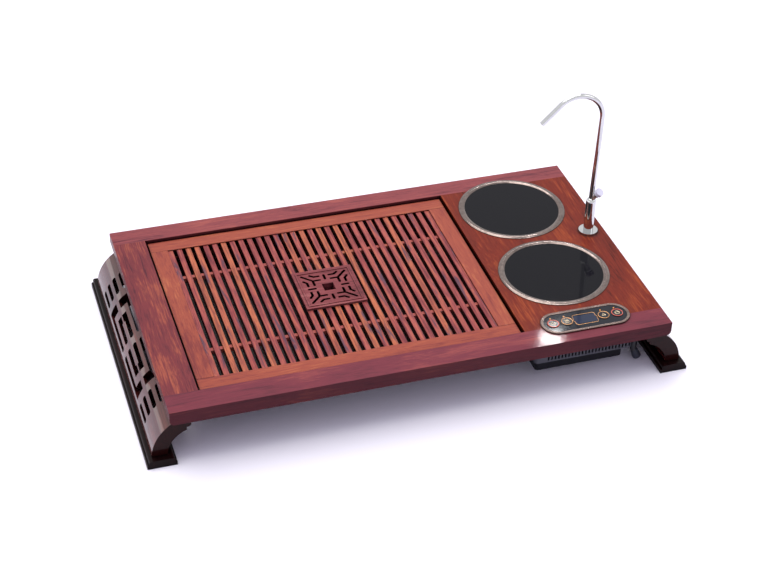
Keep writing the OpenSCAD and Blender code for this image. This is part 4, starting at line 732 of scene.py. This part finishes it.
class TRAY_OT_finish_hobs(bpy.types.Operator):
    """Gives the hobs polished steel rings, black glass, coils and carriers."""

    bl_idname = "tray.finish_hobs"
    bl_label = "Finish hobs"

    def execute(self, context):
        c = context.scene.tray_colours
        # Steel whose dark brown-grey tint is painted reflection of the wood round the rings.
        ring_steel_and_reflection = metal("Ring steel", c.ring, (0.10, 0.26), None, 170, 0.00005, 0.5)
        paint(["front_hob_ring", "rear_hob_ring"], ring_steel_and_reflection)
        black_glass = gloss("Hob glass", c.glass, (0.03, 0.08), 0.003, level=0.1)
        paint(["front_hob_glass", "rear_hob_glass"], black_glass)
        paint(["front_coil", "rear_coil"], winding("Coil copper", c.copper))
        paint(["front_coil_carrier", "rear_coil_carrier"], plastic("Carrier plastic", c.black))
        return {"FINISHED"}


class TRAY_OT_finish_panel(bpy.types.Operator):
    """Finishes the control panel and raises its rings, symbols and display outline."""

    bl_idname = "tray.finish_panel"
    bl_label = "Finish panel"

    def execute(self, context):
        c = context.scene.tray_colours
        s = context.scene.tray_sizes
        trim = metal("Bezel trim", c.bezel, (0.20, 0.38), None, 500, 0.00008, 0.45)
        paint(["panel_bezel"], trim)
        paint(["panel_plate"], gloss("Panel black", c.panel, (0.03, 0.08), 0.004, level=0.3))
        paint(["display_window"], gloss("Display window", c.window, (0.02, 0.05), 0.01))
        paint(["indicator_lamps"], gloss("Lamp lens", c.lamp, (0.05, 0.1), 0.02, 0.4))
        paint(["switch_board"], circuit("Switch board", c.board_green, c.copper))
        gold = metal("Gold line", c.gold, (0.2, 0.35))
        red = plastic("Red ring", c.red_ring, (0.2, 0.35), 900, 0.00001, 0.6)
        pale = metal("Symbol foil", c.symbol, (0.2, 0.35))
        black = gloss("Button black", c.panel, (0.05, 0.12))
        buttons = (
            ("left_outer_button", red, power_icon),
            ("left_inner_button", gold, heat_icon),
            ("right_inner_button", gold, drop_icon),
            ("right_outer_button", red, bowl_icon),
        )
        for name, ring, icon in buttons:
            low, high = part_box(name)
            centre = (low + high) / 2
            radius = min(high.x - low.x, high.y - low.y) / 2 - s.ring_inset
            paint([name], black)
            circle = placed([(arc(radius, 0, 352.5, 47), True)], centre, high.z)
            mesh = line_mesh(name + "_ring", circle, s.ring_line)
            add_piece(name + "_ring", mesh, ring, name)
            mesh = line_mesh(name + "_symbol", placed(icon(s.icon), centre, high.z), s.line)
            add_piece(name + "_symbol", mesh, pale, name)
        low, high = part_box("display_window")
        centre = (low + high) / 2
        x, y = s.outline_x, s.outline_y
        corner = [(x, 0), (0.91 * x, 0.30 * y), (0.91 * x, 0.78 * y), (0.80 * x, y)]
        quarter = corner + [(-px, py) for px, py in corner[::-1]]
        outline = quarter + [(px, -py) for px, py in quarter[-2:0:-1]]
        plate_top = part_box("panel_plate")[1].z
        strokes = placed([(outline, True)], centre, plate_top)
        mesh = line_mesh("display_outline", strokes, s.line)
        add_piece("display_outline", mesh, gold, "tray")
        ease(["panel_bezel"], s.trim_edge * 2, 3)
        return {"FINISHED"}


class TRAY_OT_finish_spout(bpy.types.Operator):
    """Chromes the spout and finishes its knob, seal, nut and hose."""

    bl_idname = "tray.finish_spout"
    bl_label = "Finish spout"

    def execute(self, context):
        c = context.scene.tray_colours
        chrome = metal("Spout chrome", c.chrome, (0.02, 0.06))
        paint(["spout_base", "spout_body", "gooseneck"], chrome)
        paint(["flow_knob"], plastic("Knob plastic", c.knob, (0.2, 0.35), 900, 0.00002, 0.5))
        paint(["spout_seal"], soft("Seal rubber", c.rubber))
        paint(["spout_nut"], metal("Nut brass", c.brass, (0.2, 0.38)))
        paint(["spout_elbow"], plastic("Elbow plastic", c.black))
        paint(["delivery_hose"], soft("Hose silicone", c.hose, 0.25))
        return {"FINISHED"}


class TRAY_OT_finish_housing(bpy.types.Operator):
    """Finishes the cooker's housing and everything that it holds."""

    bl_idname = "tray.finish_housing"
    bl_label = "Finish housing"

    def execute(self, context):
        c = context.scene.tray_colours
        paint(["housing_tub"], plastic("Housing plastic", c.housing))
        paint(["housing_pan"], plastic("Pan plastic", c.black, (0.35, 0.5), level=0.1))
        paint(["circuit_board"], circuit("Main board", c.board_green, c.copper))
        paint(["heat_sink"], metal("Sink aluminium", c.aluminium, (0.3, 0.5), "y"))
        paint(["fan_frame", "fan_rotor"], plastic("Fan plastic", c.black))
        paint(["water_pump"], plastic("Pump plastic", c.pump))
        paint(["inlet_elbow"], plastic("Inlet plastic", c.black, (0.25, 0.4)))
        paint(["inlet_nozzle"], soft("Nozzle rubber", c.nozzle))
        paint(["control_cable"], plastic("Cable sheath", c.cable, (0.4, 0.55)))
        paint(["cable_gland"], plastic("Gland plastic", c.black, (0.35, 0.5)))
        return {"FINISHED"}


class TRAY_OT_finish_drain(bpy.types.Operator):
    """Finishes the drain basin and its spigot, gasket, nut and strainer."""

    bl_idname = "tray.finish_drain"
    bl_label = "Finish drain"

    def execute(self, context):
        c = context.scene.tray_colours
        paint(["drain_basin"], plastic("Basin plastic", c.black, (0.3, 0.45)))
        paint(["drain_spigot", "drain_nut"], plastic("Spigot plastic", c.black))
        paint(["drain_gasket"], soft("Gasket rubber", c.rubber))
        paint(["drain_strainer"], metal("Strainer steel", c.steel, (0.2, 0.35)))
        return {"FINISHED"}


class TRAY_OT_finish_fasteners(bpy.types.Operator):
    """Finishes the screws of the legs, the basin and the housing."""

    bl_idname = "tray.finish_fasteners"
    bl_label = "Finish fasteners"

    def execute(self, context):
        c = context.scene.tray_colours
        steel = metal("Screw steel", c.steel, (0.2, 0.4))
        paint(["leg_screws", "basin_screws", "housing_screws"], steel)
        return {"FINISHED"}


def seen_directly(tree):
    """One where a ray comes from the camera, or by way of metal or glass."""
    path = tree.nodes.new("ShaderNodeLightPath")
    seen = path.outputs["Is Camera Ray"]
    for kind in ("Is Glossy Ray", "Is Transmission Ray"):
        either = tree.nodes.new("ShaderNodeMath")
        either.operation = "MAXIMUM"
        tree.links.new(seen, either.inputs[0])
        tree.links.new(path.outputs[kind], either.inputs[1])
        seen = either.outputs["Value"]
    return seen


def lamp(name, place, target, size, energy):
    """A soft rectangular lamp turned to a target."""
    data = bpy.data.lights.new(name, "AREA")
    data.shape = "RECTANGLE"
    data.size, data.size_y = size
    data.energy = energy
    holder = bpy.data.objects.new(name, data)
    bpy.context.scene.collection.objects.link(holder)
    holder.location = place
    aim = Vector(target) - Vector(place)
    holder.rotation_euler = aim.to_track_quat("-Z", "Y").to_euler()


class TRAY_OT_set_stage(bpy.types.Operator):
    """Adds the floor, the soft lights, the sky and the camera."""

    bl_idname = "tray.set_stage"
    bl_label = "Set stage"

    def execute(self, context):
        scene = context.scene
        self.add_floor(scene)
        self.add_sky(scene)
        self.add_sun(scene)
        for values in LAMPS:
            lamp(*values)
        self.add_camera(scene)
        scene.view_settings.view_transform = "Standard"
        return {"FINISHED"}

    def add_sun(self, scene):
        """A broad overhead light."""
        sun = bpy.data.lights.new("Overhead", "SUN")
        sun.energy = SUN_STRENGTH
        sun.color = scene.tray_colours.sunlight
        sun.angle = SUN_SPREAD
        holder = bpy.data.objects.new("Overhead", sun)
        scene.collection.objects.link(holder)
        holder.rotation_euler = Vector(SUN_DIRECTION).to_track_quat("-Z", "Y").to_euler()

    def add_floor(self, scene):
        """A plain pale floor."""
        mesh = bpy.data.meshes.new("floor")
        shape = bmesh.new()
        bmesh.ops.create_grid(shape, x_segments=1, y_segments=1, size=scene.tray_sizes.floor)
        shape.to_mesh(mesh)
        shape.free()
        floor = bpy.data.objects.new("floor", mesh)
        scene.collection.objects.link(floor)
        r = Recipe("Floor")
        faint = r.noise(r.place, 3, 2)
        tone = scene.tray_colours.floor
        shade = scaled(tone, 0.99)
        dim = scaled(tone, FLOOR_DIM)
        seen = seen_directly(r.tree)
        pale = r.mix(faint, tone, shade)
        mesh.materials.append(r.finish({"Base Color": r.mix(seen, dim, pale), "Roughness": 0.9}))

    def add_sky(self, scene):
        """Even light all round, and a white background behind the object."""
        world = bpy.data.worlds.new("Studio")
        world.use_nodes = True
        tree = world.node_tree
        tree.nodes.clear()
        light = tree.nodes.new("ShaderNodeBackground")
        light.inputs["Color"].default_value = (*scene.tray_colours.sky, 1)
        light.inputs["Strength"].default_value = SKY_STRENGTH
        white = tree.nodes.new("ShaderNodeBackground")
        white.inputs["Color"].default_value = (1, 1, 1, 1)
        white.inputs["Strength"].default_value = 1
        mix = tree.nodes.new("ShaderNodeMixShader")
        output = tree.nodes.new("ShaderNodeOutputWorld")
        tree.links.new(seen_directly(tree), mix.inputs["Fac"])
        tree.links.new(light.outputs["Background"], mix.inputs[1])
        tree.links.new(white.outputs["Background"], mix.inputs[2])
        tree.links.new(mix.outputs["Shader"], output.inputs["Surface"])
        scene.world = world

    def add_camera(self, scene):
        """The camera at the photograph's place."""
        data = bpy.data.cameras.new("Camera")
        data.lens = CAMERA_LENS
        data.sensor_width = 36
        camera = bpy.data.objects.new("Camera", data)
        scene.collection.objects.link(camera)
        axes = Matrix((CAMERA_RIGHT, CAMERA_UP, CAMERA_BACK))
        turn = axes.transposed().to_quaternion()
        camera.rotation_euler = turn.normalized().to_euler()
        camera.location = CAMERA_PLACE
        scene.camera = camera


OPERATORS = (
    TRAY_OT_finish_frame,
    TRAY_OT_finish_legs,
    TRAY_OT_finish_grate,
    TRAY_OT_finish_hobs,
    TRAY_OT_finish_panel,
    TRAY_OT_finish_spout,
    TRAY_OT_finish_housing,
    TRAY_OT_finish_drain,
    TRAY_OT_finish_fasteners,
    TRAY_OT_set_stage,
)


class TRAY_PT_sidebar(bpy.types.Panel):
    """Lists the steps that finish the tray."""

    bl_label = "Tea tray"
    bl_idname = "TRAY_PT_sidebar"
    bl_space_type = "VIEW_3D"
    bl_region_type = "UI"
    bl_category = "Tea tray"

    def draw(self, context):
        for operator in OPERATORS:
            self.layout.operator(operator.bl_idname)


CLASSES = (TraySizes, TrayColours) + OPERATORS + (TRAY_PT_sidebar,)


def register():
    for item in CLASSES:
        bpy.utils.register_class(item)
    bpy.types.Scene.tray_sizes = PointerProperty(type=TraySizes)
    bpy.types.Scene.tray_colours = PointerProperty(type=TrayColours)


def unregister():
    del bpy.types.Scene.tray_colours
    del bpy.types.Scene.tray_sizes
    for item in reversed(CLASSES):
        bpy.utils.unregister_class(item)


def main():
    """Finishes the whole object."""
    register()
    bpy.ops.tray.finish_frame()
    bpy.ops.tray.finish_legs()
    bpy.ops.tray.finish_grate()
    bpy.ops.tray.finish_hobs()
    bpy.ops.tray.finish_panel()
    bpy.ops.tray.finish_spout()
    bpy.ops.tray.finish_housing()
    bpy.ops.tray.finish_drain()
    bpy.ops.tray.finish_fasteners()
    bpy.ops.tray.set_stage()


if __name__ == "__main__":
    main()
